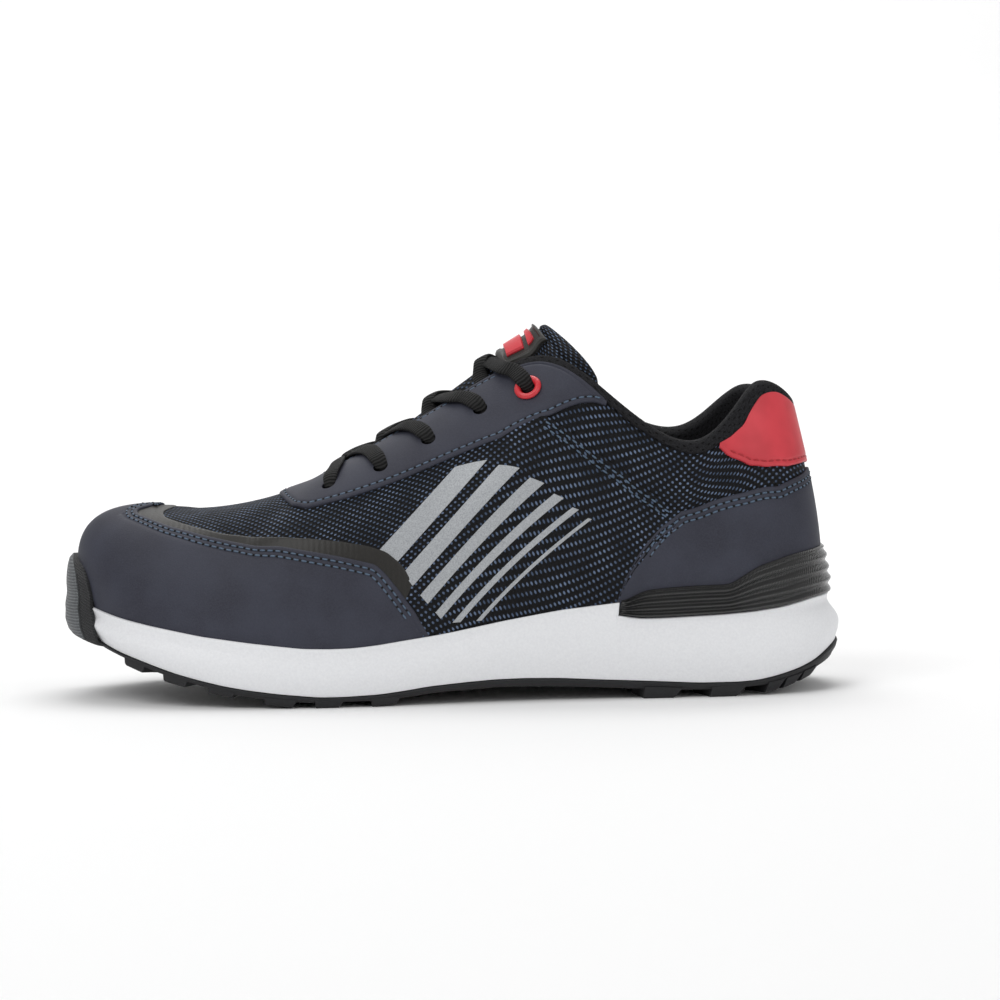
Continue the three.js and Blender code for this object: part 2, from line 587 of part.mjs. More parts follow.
// Side of the midsole, then of the toe cap over it, as corner points from the bottom edge up
const sideCorners = (station) => {
  const top = cupTop(station);
  const atGuardEdge = guardShare(station) < 0.1; // there it stays outside the midsole's lip
  const reach = atGuardEdge ? CLEARANCE + CUP_LIP : PANEL_TOP;
  const onCap = (height) => levelOffset(station, shareAtHeight(station, height), reach);
  const guardTop = TOE_HEIGHT * GUARD_HEIGHT;
  return [
    bottomEdge(station), bulgePoint(station), lipPoint(station, LIP_SHOULDER), lipPoint(station, 0),
    onCap(top + 2 * CLEARANCE), onCap(mix(top, guardTop, 0.5)), onCap(guardTop),
  ];
};
const GUARD_CORNERS = 7;
const footReach = (station) => {
  const besideGuard = TOE - fromHeel(station) < GUARD_HALF + 1.5 * EDGE_STEP;
  return CLEARANCE + (besideGuard ? sideAt(station, 1) - sideAt(station, 2) + GUARD_FOOT : OUTSOLE_PROUD);
};
const guardPoint = (station, corner, onOuterFace) => {
  const normal = outwardAt(station);
  const moved = (point, reach, lift) =>
    point.clone().add(new THREE.Vector3(-normal[0] * reach, normal[1] * reach, lift));
  const corners = sideCorners(station);
  if (corner === 0 && !onOuterFace) return moved(corners[0], 0, -CLEARANCE);
  if (corner === 0 || guardShare(station) === 0) return moved(corners[0], footReach(station), -CLEARANCE);
  const [foot, lip] = [corners[0].z, corners[4].z];
  const top = mix(lip + 0.5, TOE_HEIGHT * GUARD_HEIGHT, guardShare(station));
  const last = corners.findIndex((point) => point.z >= top - 1e-3);
  const [below, above] = [corners[last - 1], corners[last]];
  const share = clamp((top - below.z) / (above.z - below.z), 0, 1);
  const point = corner >= last ? below.clone().lerp(above, share) : corners[corner];
  const thickness = onOuterFace ? guardThickness(station, clamp((point.z - foot) / (top - foot), 0, 1)) : 0;
  return moved(point, CLEARANCE + thickness, 0);
};
const outsoleSolid = () => {
  const footOf = (station) => bottomEdge(station).z - CLEARANCE;
  const bevelled = (station, share) => {
    const foot = footOf(station);
    const low = outsoleBottom(alongOf(bottomEdge(station)));
    const out = sideAt(station, 2) + footReach(station) - BEVEL * (foot - low) * share * share;
    const point = besideFeather(station, out, mix(foot, low, share));
    if (share === 1) point.z = outsoleBottom(alongOf(point));
    return point;
  };
  const across = (station, share) => {
    const point = bevelled(station, 1).lerp(toVector(spineAt(station)), share);
    point.z = outsoleBottom(alongOf(point));
    return point;
  };
  const topPoint = (station, share) => {
    const point = bottomPoint(station, share);
    point.z -= CLEARANCE;
    return point;
  };
  const corners = Array.from({ length: GUARD_CORNERS }, (_, i) => i);
  const sheet = ringBody([
    ring((station) => topPoint(station, 1)),
    ring((station) => topPoint(station, 0.5)),
    ...corners.map((corner) => ring((station) => guardPoint(station, corner, false))),
    ...corners.slice().reverse().map((corner) => ring((station) => guardPoint(station, corner, true))),
    ring((station) => bevelled(station, 0.5)),
    ring((station) => bevelled(station, 1)),
    ring((station) => across(station, 0.5)),
    ring((station) => across(station, 1)),
  ]).solid();
  return lugSolids().reduce((sum, lug) => sum.add(lug), sheet);
};

// Tread blocks stand under the sheet and reach a little way into it
const LUG_ROOT = 0.5;
const stationAtAlong = (along, side) => {
  let [low, high] = [0.2, TOE - 0.2];
  for (let i = 0; i < 30; i += 1) {
    const middle = (low + high) / 2;
    if (splineAt(side < 0 ? middle : STATIONS - middle)[0] < along) low = middle;
    else high = middle;
  }
  return side < 0 ? low : STATIONS - low;
};
const prism = (corners) => {
  const body = new Body();
  const atHeight = (p, height) => body.vertex(new THREE.Vector3(p.x, p.y, height));
  const low = corners.map((p) => atHeight(p, tread(alongOf(p))));
  const high = corners.map((p) => atHeight(p, outsoleBottom(alongOf(p)) + LUG_ROOT));
  corners.forEach((_, i) => {
    const next = (i + 1) % corners.length;
    body.quad(low[i], low[next], high[next], high[i]);
    if (i > 0 && i + 1 < corners.length) {
      body.triangle(low[0], low[i + 1], low[i]);
      body.triangle(high[0], high[i], high[i + 1]);
    }
  });
  return body.solid();
};
const EDGE_LUG_INSET = 0.9;
const EDGE_LUG_DEPTH = 0.4; // share of the way from the edge to the sole's middle line
const CENTRE_LUG_HALF = 0.3; // share of the half width
const lugSolids = () => {
  const acrossSole = (along, side, share) => {
    const station = stationAtAlong(along, side);
    const edge = besideFeather(station, sideAt(station, 2) - EDGE_LUG_INSET, 0);
    const spine = toVector(spineAt(station));
    return edge.lerp(spine, share);
  };
  const edgeLug = ([from, to], side) => {
    const [a, b] = [(from * SHOE_LENGTH) / 100, (to * SHOE_LENGTH) / 100];
    return prism([
      acrossSole(a, side, 0), acrossSole(b, side, 0),
      acrossSole(b, side, EDGE_LUG_DEPTH), acrossSole(a, side, EDGE_LUG_DEPTH),
    ]);
  };
  const centreLug = ([from, to]) => {
    const [a, b] = [(from * SHOE_LENGTH) / 100, (to * SHOE_LENGTH) / 100];
    const place = (along, side) => acrossSole(along, side, 1 - CENTRE_LUG_HALF);
    return prism([place(a, -1), place(b, -1), place(b, 1), place(a, 1)]);
  };
  return [
    ...EDGE_LUGS.flatMap((span) => [edgeLug(span, -1), edgeLug(span, 1)]),
    ...CENTRE_LUGS.map(centreLug),
  ];
};

// Panels sewn on the upper
const panelSolid = (grids, thickness = OVERLAY) => slabSolid(
  grids,
  (station, t) => offsetPoint(station, t, CLEARANCE),
  (station, t) => offsetPoint(station, t, CLEARANCE + thickness),
);
const bandLow = (station) => onCurve(COLLAR_BAND_LOW, station);
const bandLimit = COLLAR_BAND_LOW[COLLAR_BAND_LOW.length - 1][0];
const BAND_END = Math.max(...halfColumns.filter((station) => station <= bandLimit));
const SEAM = 0.012; // gap between neighbouring panels, as a share of the curve
const RIM_GAP = 0.994; // panels end just short of the rim
const toeCapSolid = () => {
  const [from, to] = [GUARD_TOP[0][0], STATIONS - GUARD_TOP[0][0]];
  return panelSolid([gridBetween(from, to, panelFoot, (s) => onCurve(GUARD_TOP, s))]);
};
const filmSolid = () => {
  const [from, to] = [FILM_TOP[0][0], STATIONS - FILM_TOP[0][0]];
  const low = (station) => Math.max(panelFoot(station), onCurve(GUARD_TOP, station) + SEAM);
  const lowBehind = (station) => (fromHeel(station) < GUARD_TOP[0][0] ? panelFoot(station) : low(station));
  return panelSolid([gridBetween(from, to, lowBehind, (s) => onCurve(FILM_TOP, s))], OVERLAY * 0.6);
};
const eyestaySolid = () => {
  const high = (station) => {
    if (fromHeel(station) >= TOE - RIDGE_STATIONS) return 1;
    return fromHeel(station) < BAND_END + EDGE_STEP ? bandLow(station) - SEAM : RIM_GAP;
  };
  const low = (station) => onCurve(EYESTAY_LOW, station);
  const [back, front] = [EYESTAY_LOW[0][0] + 0.12, EYESTAY_LOW[EYESTAY_LOW.length - 1][0]];
  const spans = [[back, front], [STATIONS - front, STATIONS - back]];
  return cutEyelets(panelSolid(spans.map(([from, to]) => gridBetween(from, to, low, high))));
};
const counterSolid = () => {
  const end = COUNTER_TOP[COUNTER_TOP.length - 1][0];
  return panelSolid([gridBetween(-end, end, panelFoot, (s) => onCurve(COUNTER_TOP, s))]);
};
const patchSolid = () => {
  const end = PATCH_LOW[PATCH_LOW.length - 1][0];
  return panelSolid([gridBetween(-end, end, (s) => onCurve(PATCH_LOW, s), (s) => bandLow(s) - SEAM)]);
};
const collarBandSolid = () => {
  return panelSolid([gridBetween(-BAND_END, BAND_END, bandLow, () => RIM_GAP)]);
};
const stabilizerSolid = () => {
  const inner = CLEARANCE * 2 + OVERLAY;
  const low = (s) => shareAtHeight(s, onShare(STABILIZER_LOW, splineAt(s)[0]));
  const high = (s) => shareAtHeight(s, onShare(STABILIZER_HIGH, splineAt(s)[0]));
  const end = STABILIZER_FRONT - EDGE_STEP;
  const shares = [0, 0.12, 0.31, 0.5, 0.69, 0.88, 1];
  const swell = [0.4, 1, 0.4, 1, 0.4, 1, 0.2];
  const stations = gridBetween(-end, end, low, high).map((row) => row[0][0]);
  const rowAt = (station) => shares.map((share) => [station, mix(low(station), high(station), share)]);
  const grid = stations.map(rowAt);
  const thickness = (station, t) => {
    const share = (t - low(station)) / (high(station) - low(station));
    return STABILIZER_THICKNESS + STABILIZER_RIDGE * polyline(shares.map((x, i) => [x, swell[i]]), share);
  };
  return slabSolid(
    [grid],
    (station, t) => levelOffset(station, t, inner),
    (station, t) => levelOffset(station, t, inner + thickness(station, t)),
  );
};

// Tongue: sections between the two sides of the throat, then its free top
const TONGUE_STATIONS = [11.3, 10.9, 10.4, 9.8, 9.2, 8.6, 8.05, 7.6];
const TONGUE_CROWN = [-3.7, -3.6, -2.6, 0.4, 2.6, 4.4, 6.4, 8.8]; // crown over the throat's edges
const TONGUE_WING = 0.75; // share of the curve at which the tongue's side edge lies
// Free top, from the middle between the eyestay's top corners: along, side and height of each point, from
// the crown to the side edge, as percent of the tongue's rise
const TONGUE_TOP = [
  [[53, 0, 83], [23, 85, 30], [-10, 132, -40], [-30, 155, -100]],
  [[23, 0, 100], [-43, 107, 37], [-87, 155, -27], [-100, 162, -80]],
];
const tongueRows = () => {
  const under = (station, t) => offsetPoint(station, t, -(UPPER_WALL + 3 * CLEARANCE));
  const held = TONGUE_STATIONS.map((station, i) => {
    const other = STATIONS - station;
    const crown = surfacePoint(station, 1).add(surfacePoint(other, 1)).multiplyScalar(0.5);
    crown.z += TONGUE_CROWN[i];
    const shoulder = mix(1, 0.94, ridgeShare(station));
    const side = (at) => [TONGUE_WING, (TONGUE_WING + shoulder) / 2, shoulder].map((t) => under(at, t));
    return [...side(station), crown, ...side(other).reverse()];
  });
  const corner = surfacePoint(7, 1).add(surfacePoint(STATIONS - 7, 1)).multiplyScalar(0.5);
  const free = TONGUE_TOP.map((row) => {
    const place = ([along, side, height], sign) =>
      corner.clone().add(new THREE.Vector3(-along, side * sign, height).multiplyScalar(TONGUE_RISE / 100));
    const [crown, ...rest] = row;
    return [...rest.map((p) => place(p, -1)).reverse(), place(crown, 1), ...rest.map((p) => place(p, 1))];
  });
  return [...held, ...free];
};
const tongueTable = tongueRows();
const TONGUE_ROWS = tongueTable.length - 1;
const TONGUE_COLUMNS = tongueTable[0].length - 1;
const smoothAlong = (points, x) => {
  const last = points.length - 1;
  const i = clamp(Math.floor(x), 0, last - 1);
  const at = (k) => (k < 0 ? points[0].clone().multiplyScalar(2).sub(points[1])
    : k > last ? points[last].clone().multiplyScalar(2).sub(points[last - 1]) : points[k]);
  const [p, q, r, s] = [at(i - 1), at(i), at(i + 1), at(i + 2)];
  const f = x - i;
  return new THREE.Vector3(...["x", "y", "z"].map((k) =>
    0.5 * (2 * q[k] + (r[k] - p[k]) * f + (2 * p[k] - 5 * q[k] + 4 * r[k] - s[k]) * f * f
      + (3 * q[k] - p[k] - 3 * r[k] + s[k]) * f ** 3)));
};
const tonguePoint = (row, column) => smoothAlong(tongueTable.map((line) => smoothAlong(line, column)), row);
const tongueOffset = (row, column, distance) => {
  const step = 0.05;
  const [r0, r1] = [Math.max(row - step, 0), Math.min(row + step, TONGUE_ROWS)];
  const [c0, c1] = [Math.max(column - step, 0), Math.min(column + step, TONGUE_COLUMNS)];
  const lengthwise = tonguePoint(r1, column).sub(tonguePoint(r0, column));
  const across = tonguePoint(row, c1).sub(tonguePoint(row, c0));
  return tonguePoint(row, column).addScaledVector(lengthwise.cross(across).normalize(), distance);
};
const stepsBetween = (from, to, steps) =>
  Array.from({ length: steps + 1 }, (_, i) => mix(from, to, i / steps));
const tongueGrid = (rows, cols) => [rows.map((row) => cols.map((column) => [row, column]))];
const TONGUE_EDGE = 2.4; // thickness at the side edges and the toe end
const tongueSolid = () => {
  const thickness = (row, column) => {
    const middle = 1 - Math.abs(column / (TONGUE_COLUMNS / 2) - 1);
    return mix(TONGUE_EDGE, TONGUE_THICKNESS, Math.min(fade(middle, 0, 0.6), fade(row, 0, 3)));
  };
  return slabSolid(
    tongueGrid(stepsBetween(0, TONGUE_ROWS, TONGUE_ROWS), stepsBetween(0, TONGUE_COLUMNS, 10)),
    (row, column) => tongueOffset(row, column, -thickness(row, column)),
    (row, column) => tongueOffset(row, column, 0),
  );
};
// Rubber label on the tongue, with two plain raised bars
const BADGE_ROWS = [5.78, 8.18];
const BADGE_COLUMNS = [2.25, 3.75];
const BAR_ROWS = [[6.08, 6.83], [7.13, 7.83]];
const BAR_COLUMNS = [2.5, 3.5];
const tongueSlab = (rows, cols, low, high) => slabSolid(
  tongueGrid(stepsBetween(...rows, 4), stepsBetween(...cols, 6)),
  (row, column) => tongueOffset(row, column, low),
  (row, column) => tongueOffset(row, column, high),
);
const badgeSolid = () => tongueSlab(BADGE_ROWS, BADGE_COLUMNS, CLEARANCE, CLEARANCE + BADGE_THICKNESS);
const badgeBarSolid = (rows) => {
  const seat = 2 * CLEARANCE + BADGE_THICKNESS;
  return tongueSlab(rows, BAR_COLUMNS, seat, seat + BADGE_BAR_HEIGHT);
};

// Eyelet rings, at the top eyelets only
const ringSolid = (side) => {
  const { station, height } = EYELETS[EYELETS.length - 1];
  const at = side < 0 ? station : STATIONS - station;
  const profile = [
    [EYELET_RADIUS, 0], [RING_RADIUS, 0], [RING_RADIUS, 0.45], [0.82 * RING_RADIUS, 1],
    [0.66 * RING_RADIUS, 1], [EYELET_RADIUS, 0.6], [EYELET_RADIUS, 0],
  ].map(([radius, level]) => new THREE.Vector2(radius, level * RING_HEIGHT));
  const geometry = new THREE.LatheGeometry(profile, 16);
  const normal = surfaceNormal(at, height / 100);
  geometry.applyQuaternion(new THREE.Quaternion().setFromUnitVectors(new THREE.Vector3(0, 1, 0), normal));
  geometry.translate(...offsetPoint(at, height / 100, PANEL_TOP + CLEARANCE).toArray());
  return geometrySolid(geometry);
};

// Lace: flat ribbons that come up through the throat, cross over the tongue and end over an eyelet
const LACE_LIFT = 0.65; // spare height over a curved panel
const LACE_SEAT = PANEL_TOP + CLEARANCE + LACE_THICKNESS / 2 + LACE_LIFT;
const RING_SEAT = LACE_SEAT + RING_HEIGHT + CLEARANCE;
const TONGUE_SEAT = CLEARANCE + LACE_THICKNESS / 2 + 2.4;
const NARROW_RISE = 3; // extra height where the throat is too narrow for the lace to lie in it
const LACE_START = 0.12; // stations between a run's start at the far side and the crossing
const LACE_FRONT = 0.56; // stations between the throat's front end and the first run's start
const LACE_FAR = 0.5; // how far to the far side it starts, as a share of the throat's half width
const throatStation = (along) => {
  let [low, high] = [7, TOE - RIDGE_STATIONS];
  for (let i = 0; i < 30; i += 1) {
    const middle = (low + high) / 2;
    if (topAt(middle)[0] < along) low = middle;
    else high = middle;
  }
  return low;
};
const tongueRowAt = (station) => polyline(TONGUE_STATIONS.map((own, i) => [-own, i]), -station);
const ribbon = (stops) => {
  const path = new THREE.CatmullRomCurve3(stops.map((stop) => stop.point));
  const facing = new THREE.CatmullRomCurve3(stops.map((stop) => stop.normal));
  const body = new Body();
  const steps = stops.length + 2;
  const [half, thick] = [LACE_WIDTH / 2, LACE_THICKNESS / 2];
  const section = [[-half, -thick], [-half, thick], [half, thick], [half, -thick]];
  const ids = stepsBetween(0, 1, steps).map((t) => {
    const centre = path.getPoint(t);
    const run = path.getTangent(t);
    const across = run.clone().cross(facing.getPoint(t)).normalize();
    const up = across.clone().cross(run).normalize();
    const corner = ([w, h]) => centre.clone().addScaledVector(across, w).addScaledVector(up, h);
    return section.map((place) => body.vertex(corner(place)));
  });
  for (let i = 0; i + 1 < ids.length; i += 1) {
    section.forEach((_, j) => {
      const next = (j + 1) % section.length;
      body.quad(ids[i][j], ids[i][next], ids[i + 1][next], ids[i + 1][j]);
    });
  }
  const [first, last] = [ids[0], ids[ids.length - 1]];
  for (let j = 1; j + 1 < section.length; j += 1) {
    body.triangle(first[0], first[j + 1], first[j]);
    body.triangle(last[0], last[j], last[j + 1]);
  }
  return body.solid();
};
const laceRuns = () => {
  const up = new THREE.Vector3(0.35, 0, 1).normalize();
  const onPanel = (station, height, side, seat) => {
    const at = side < 0 ? station : STATIONS - station;
    return { point: offsetPoint(at, height, seat), normal: surfaceNormal(at, height) };
  };
  const levelOf = (i) => throatStation(surfaceAt(EYELETS[i].station, EYELETS[i].height / 100)[0]);
  // From the throat's edge at a station down over the panel to an eyelet
  const downTo = (i, station, side) => [0, 0.34, 0.67, 1].map((share) => {
    const eyelet = EYELETS[i];
    const last = i === EYELETS.length - 1 ? RING_SEAT : LACE_SEAT;
    const seat = mix(LACE_SEAT, last, fade(share, 0.3, 0.7));
    const height = mix(0.97, eyelet.height / 100, share);
    return onPanel(mix(station, eyelet.station, share), height, side, seat);
  });
  const overTongue = (station, column) => {
    const narrow = fade(station, TOE - RIDGE_STATIONS - 1.1, TOE - RIDGE_STATIONS - 0.6);
    const seat = TONGUE_SEAT + NARROW_RISE * narrow;
    return { point: tongueOffset(tongueRowAt(station), column, seat), normal: up };
  };
  const middle = TONGUE_COLUMNS / 2;
  const first = levelOf(0);
  const firstEdge = mix(first, EYELETS[0].station, 0.35);
  const ridge = { point: surfacePoint(first, 1), normal: up };
  ridge.point.z += LACE_SEAT + 0.6;
  const bar = ribbon([...downTo(0, firstEdge, -1).reverse(), ridge, ...downTo(0, firstEdge, 1)]);
  const crossings = EYELETS.slice(1).map((_, i) => {
    const [level, next] = [Math.min(levelOf(i), TOE - RIDGE_STATIONS - LACE_FRONT), levelOf(i + 1)];
    const halves = [-1, 1].map((side) => ribbon([
      overTongue(level, middle - side * LACE_FAR),
      overTongue(level - LACE_START, middle),
      ...downTo(i + 1, mix(level, next, 0.5), side),
    ]));
    return halves[0].add(halves[1]);
  });
  return [bar, ...crossings];
};

const materials = {
  microfibre: { color: "#383a46", roughness: 0.75, metalness: 0 },
  mesh: { color: "#23262f", roughness: 0.9, metalness: 0 },
  film: { color: "#302e2c", roughness: 0.5, metalness: 0 },
  redPatch: { color: "#c3323c", roughness: 0.6, metalness: 0 },
  lining: { color: "#17171a", roughness: 0.9, metalness: 0 },
  foam: { color: "#ebecee", roughness: 0.6, metalness: 0 },
  rubber: { color: "#2d2d2f", roughness: 0.7, metalness: 0 },
  plastic: { color: "#1c1c1e", roughness: 0.35, metalness: 0 },
  redPlastic: { color: "#d2323a", roughness: 0.35, metalness: 0 },
  lace: { color: "#2a2a2c", roughness: 0.9, metalness: 0 },
};

const group = new THREE.Group();
const addPiece = (name, solid, material) => {
  const { numProp, vertProperties, triVerts } = solid.getMesh();
  const geometry = new THREE.BufferGeometry();
  const places = new Float32Array((vertProperties.length / numProp) * 3);
  for (let i = 0; i < places.length / 3; i += 1) {
    places.set(vertProperties.subarray(i * numProp, i * numProp + 3), i * 3);
  }
  geometry.setAttribute("position", new THREE.BufferAttribute(places, 3));
  geometry.setIndex(Array.from(triVerts));
  const mesh = new THREE.Mesh(geometry, new THREE.MeshStandardMaterial(materials[material]));
  mesh.name = name;
  group.add(mesh);
};

addPiece("upper", upperSolid(), "mesh");
addPiece("midsole", midsoleSolid(), "foam");
addPiece("insole", insoleSolid(), "lining");
addPiece("outsole", outsoleSolid(), "rubber");
addPiece("toe_cap", toeCapSolid(), "microfibre");
addPiece("vamp_film", filmSolid(), "film");
addPiece("eyestay", eyestaySolid(), "microfibre");
addPiece("heel_counter", counterSolid(), "microfibre");
addPiece("heel_patch", patchSolid(), "redPatch");
addPiece("collar_band", collarBandSolid(), "lining");
addPiece("heel_stabilizer", stabilizerSolid(), "plastic");
addPiece("tongue", tongueSolid(), "mesh");
addPiece("tongue_badge", badgeSolid(), "rubber");
BAR_ROWS.forEach((rows, i) => addPiece(`badge_bar_${i + 1}`, badgeBarSolid(rows), "redPlastic"));
addPiece("eyelet_ring_outer", ringSolid(-1), "redPlastic");
addPiece("eyelet_ring_inner", ringSolid(1), "redPlastic");
laceRuns().forEach((run, i) => addPiece(i === 0 ? "lace_bar" : `lace_crossing_${i}`, run, "lace"));

// The origin is on the ground under the middle of the shoe
group.updateMatrixWorld(true);
const box = new THREE.Box3().setFromObject(group);
const middle = box.getCenter(new THREE.Vector3());
group.position.set(-middle.x, -middle.y, -box.min.z);

export default group;
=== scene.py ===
"""A left safety trainer in its studio: knitted upper with sewn-on panels, padded collar and tongue,
flat laces, white foam midsole and dark rubber outsole with a toe guard.

Every soft form follows one surface round the foot. A station goes round the feather edge, where the
upper meets the sole, from the heel's centre (0) along the outer side to the toe (14) and back along the
inner side (28). A share goes up the station's curve, from the feather edge (0) to the collar or throat (1).
Sizes are millimetres until a mesh is made.
"""

import math

import bpy
import numpy as np
from mathutils import Matrix, Vector


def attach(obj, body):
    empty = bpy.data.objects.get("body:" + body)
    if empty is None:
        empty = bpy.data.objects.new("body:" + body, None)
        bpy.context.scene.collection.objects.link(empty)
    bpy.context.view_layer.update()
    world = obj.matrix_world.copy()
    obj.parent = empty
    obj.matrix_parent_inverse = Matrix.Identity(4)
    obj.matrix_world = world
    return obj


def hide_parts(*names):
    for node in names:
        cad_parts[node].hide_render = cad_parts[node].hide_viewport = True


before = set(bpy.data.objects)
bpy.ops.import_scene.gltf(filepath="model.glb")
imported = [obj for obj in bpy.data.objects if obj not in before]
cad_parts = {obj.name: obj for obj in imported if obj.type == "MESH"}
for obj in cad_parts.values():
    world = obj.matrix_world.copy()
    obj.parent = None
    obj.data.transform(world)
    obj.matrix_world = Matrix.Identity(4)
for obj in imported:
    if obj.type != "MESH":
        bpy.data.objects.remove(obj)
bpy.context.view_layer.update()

# Driving dimensions
SHOE_LENGTH = 300
BALL_WIDTH = 100
HEEL_STACK = 27
COLLAR_HEIGHT = 116.5
INSTEP_HEIGHT = 127
TOE_HEIGHT = 72
MIDDLE_ALONG = 149.58  # the origin, from the heel's back
MIDDLE_SIDE = -0.69  # the origin, from the foot's own middle line
UPPER_WALL = 2.2
COLLAR_PADDING = 4.6
OVERLAY = 1.25  # a sewn-on panel over the mesh
STATIONS = 28
TOE = STATIONS / 2
RIDGE_STATIONS = 3  # over the vamp both sides' curves meet on one ridge
MM = 0.001
CLIP_END = 4.34  # the stabilizer's front ends, in stations from the heel
STATION_MM = 25.0  # rough length of a station along the feather edge
CURVE_MM = 90.0  # rough length of a station's curve
FOLD_HEIGHT = 1.1  # the quarter's folded edge over the mesh
EYELET_HOLE = 2.9  # radius in the eyestay
MESH_HOLE = 3.4  # radius in the mesh below, wider so that its edge stays hidden
STITCH_ROWS = (2.1, 4.2)  # distances of a double row from the panel's edge
TREAD_EDGE = 0.3  # how far the tread stands out from the foam's bottom edge
LUG_ROOT = 0.8  # how far a tread block reaches up into the sheet
LACE_SIZE = (6.3, 1.7)  # width and thickness over the panels
LACE_IN_EYELET = (4.7, 2.8)

# along %, side %, feather %, flare %, governing height, rise %, top along %, top side %, top %, reach %,
# drop %
OUTER_STATIONS = [
    [3.0, 0, 100, 5.0, COLLAR_HEIGHT, 24.0, 6.0, 0, 92.7, 5, 18.9],
    [4.8, -20.5, 100, 4.5, COLLAR_HEIGHT, 24.0, 7.0, -14.5, 95.7, 5, 18.9],
    [11.0, -32.5, 98, 4.0, COLLAR_HEIGHT, 24.0, 10.7, -24, 100, 5, 20.6],
    [18.7, -36, 94, 3.5, COLLAR_HEIGHT, 22.3, 14.7, -28.5, 89.3, 5, 17.2],
    [27.0, -37.5, 89, 3.5, COLLAR_HEIGHT, 21.5, 19.2, -31, 79.8, 5, 15.5],
    [35.3, -39.5, 81.5, 4.0, INSTEP_HEIGHT, 20.5, 25.0, -32.5, 78.7, 7, 15.7],
    [43.7, -42.5, 72, 4.5, INSTEP_HEIGHT, 22.0, 30.3, -30, 89, 11, 15.7],
    [52.0, -46.5, 63, 4.5, INSTEP_HEIGHT, 23.6, 36.2, -21.5, 100, 16, 14.2],
    [60.3, -50, 55.5, 4.0, INSTEP_HEIGHT, 23.6, 42.3, -12, 98, 20, 11.0],
    [68.7, -51.5, 53, 4.0, INSTEP_HEIGHT, 23.6, 50.7, -9.5, 86.6, 26, 7.9],
    [76.7, -49.5, 58, 4.0, INSTEP_HEIGHT, 24.4, 59.0, -7, 75.2, 30, 4.7],
    [84.0, -43.5, 76, 5.0, INSTEP_HEIGHT, 24.4, 67.0, 3.6, 64.6, 34, 2.4],
    [90.3, -33.5, 98, 7.5, TOE_HEIGHT, 46.0, 74.7, 4, 101.7, 36, 1.4],
    [95.0, -17, 118, 9.0, TOE_HEIGHT, 46.0, 80.7, 4.5, 98.9, 36.5, -1.4],
    [96.7, 4, 126, 9.5, TOE_HEIGHT, 46.5, 84.0, 4.5, 100.3, 35, -4.4],
]
INNER_STATIONS = [
    [4.8, 20.5, 100, 4.5, COLLAR_HEIGHT, 24.0, 7.0, 14.5, 94.8, 5, 18.9],
    [11.0, 32, 98, 4.0, COLLAR_HEIGHT, 24.0, 10.7, 24, 98.3, 5, 20.6],
    [18.7, 34.5, 94, 3.5, COLLAR_HEIGHT, 23.2, 14.8, 28.5, 91.8, 5, 17.2],
    [27.0, 34, 90.5, 3.0, COLLAR_HEIGHT, 23.2, 19.5, 31, 83.3, 5, 15.5],
    [35.3, 33, 87, 2.5, INSTEP_HEIGHT, 22.0, 25.3, 32, 79.9, 7, 15.7],
    [43.7, 34, 79.5, 2.5, INSTEP_HEIGHT, 23.6, 30.7, 30, 89.4, 11, 15.7],
    [52.0, 38.5, 68.5, 3.0, INSTEP_HEIGHT, 25.2, 36.2, 23, 100, 16, 14.2],
    [60.3, 44, 57.5, 3.5, INSTEP_HEIGHT, 26.0, 42.3, 15, 98, 20, 11.0],
    [68.7, 48.5, 53, 4.0, INSTEP_HEIGHT, 26.0, 50.7, 13.5, 86.6, 25, 7.9],
    [76.7, 50, 58, 4.0, INSTEP_HEIGHT, 26.0, 59.0, 12.5, 75.2, 28, 4.7],
    [84.0, 48, 76, 5.0, INSTEP_HEIGHT, 25.2, 67.0, 3.6, 64.6, 32, 2.4],
    [90.3, 41.5, 98, 7.5, TOE_HEIGHT, 46.0, 74.7, 4, 101.7, 36, 1.4],
    [95.0, 26, 118, 9.0, TOE_HEIGHT, 46.0, 80.7, 4.5, 98.9, 36.5, -1.4],
]

# Side lines of the sole: share of the length from the heel, share of the heel stack
CUP_EDGE = [
    [0, 152], [10, 144], [29.7, 134], [33.7, 129.5], [36.9, 126], [39.3, 122], [44.4, 112.6], [50.7, 99],
    [53.1, 94.5], [56.8, 88.8], [60, 83.5], [63, 80.3], [66, 79.8], [69.1, 80.9], [75.2, 88.6], [81.4, 98],
    [87.8, 112], [91, 120], [94.5, 131], [97, 141], [100, 150],
]
MIDSOLE_BOTTOM = [
    [0, 70], [1.2, 66], [2.3, 59], [4.3, 45.3], [6.5, 35.8], [9.2, 27.9], [11.8, 22.4], [14.4, 20.6],
    [19.4, 20.7], [25.7, 24.7], [32, 28.3], [37, 31.8], [41.3, 33], [45, 32.5], [48.7, 30], [53.2, 26],
    [56.3, 21], [59.4, 17], [63.7, 15], [66.7, 15], [71.6, 20], [75.3, 25.3], [78.4, 31], [81.5, 38.8],
    [84.3, 46.7], [86.5, 54.5], [89.1, 64.4], [91.8, 74.3], [93.9, 84], [96.7, 100], [100, 112],
]
OUTSOLE_BOTTOM = [
    [0, 50], [1, 46], [2.3, 41], [4.8, 31], [7.2, 22.7], [10.3, 15.5], [12.9, 13.4], [18.2, 11], [21.2, 11],
    [27, 14], [35.3, 19], [43.7, 22], [52, 17.5], [56.7, 11], [60.3, 8.5], [68.7, 8], [73.3, 12.6],
    [76.7, 18], [80.1, 27.5], [82.3, 34.4], [86, 45.6], [87.7, 52], [91, 66], [94.3, 80], [97, 92],
    [100, 102],
]
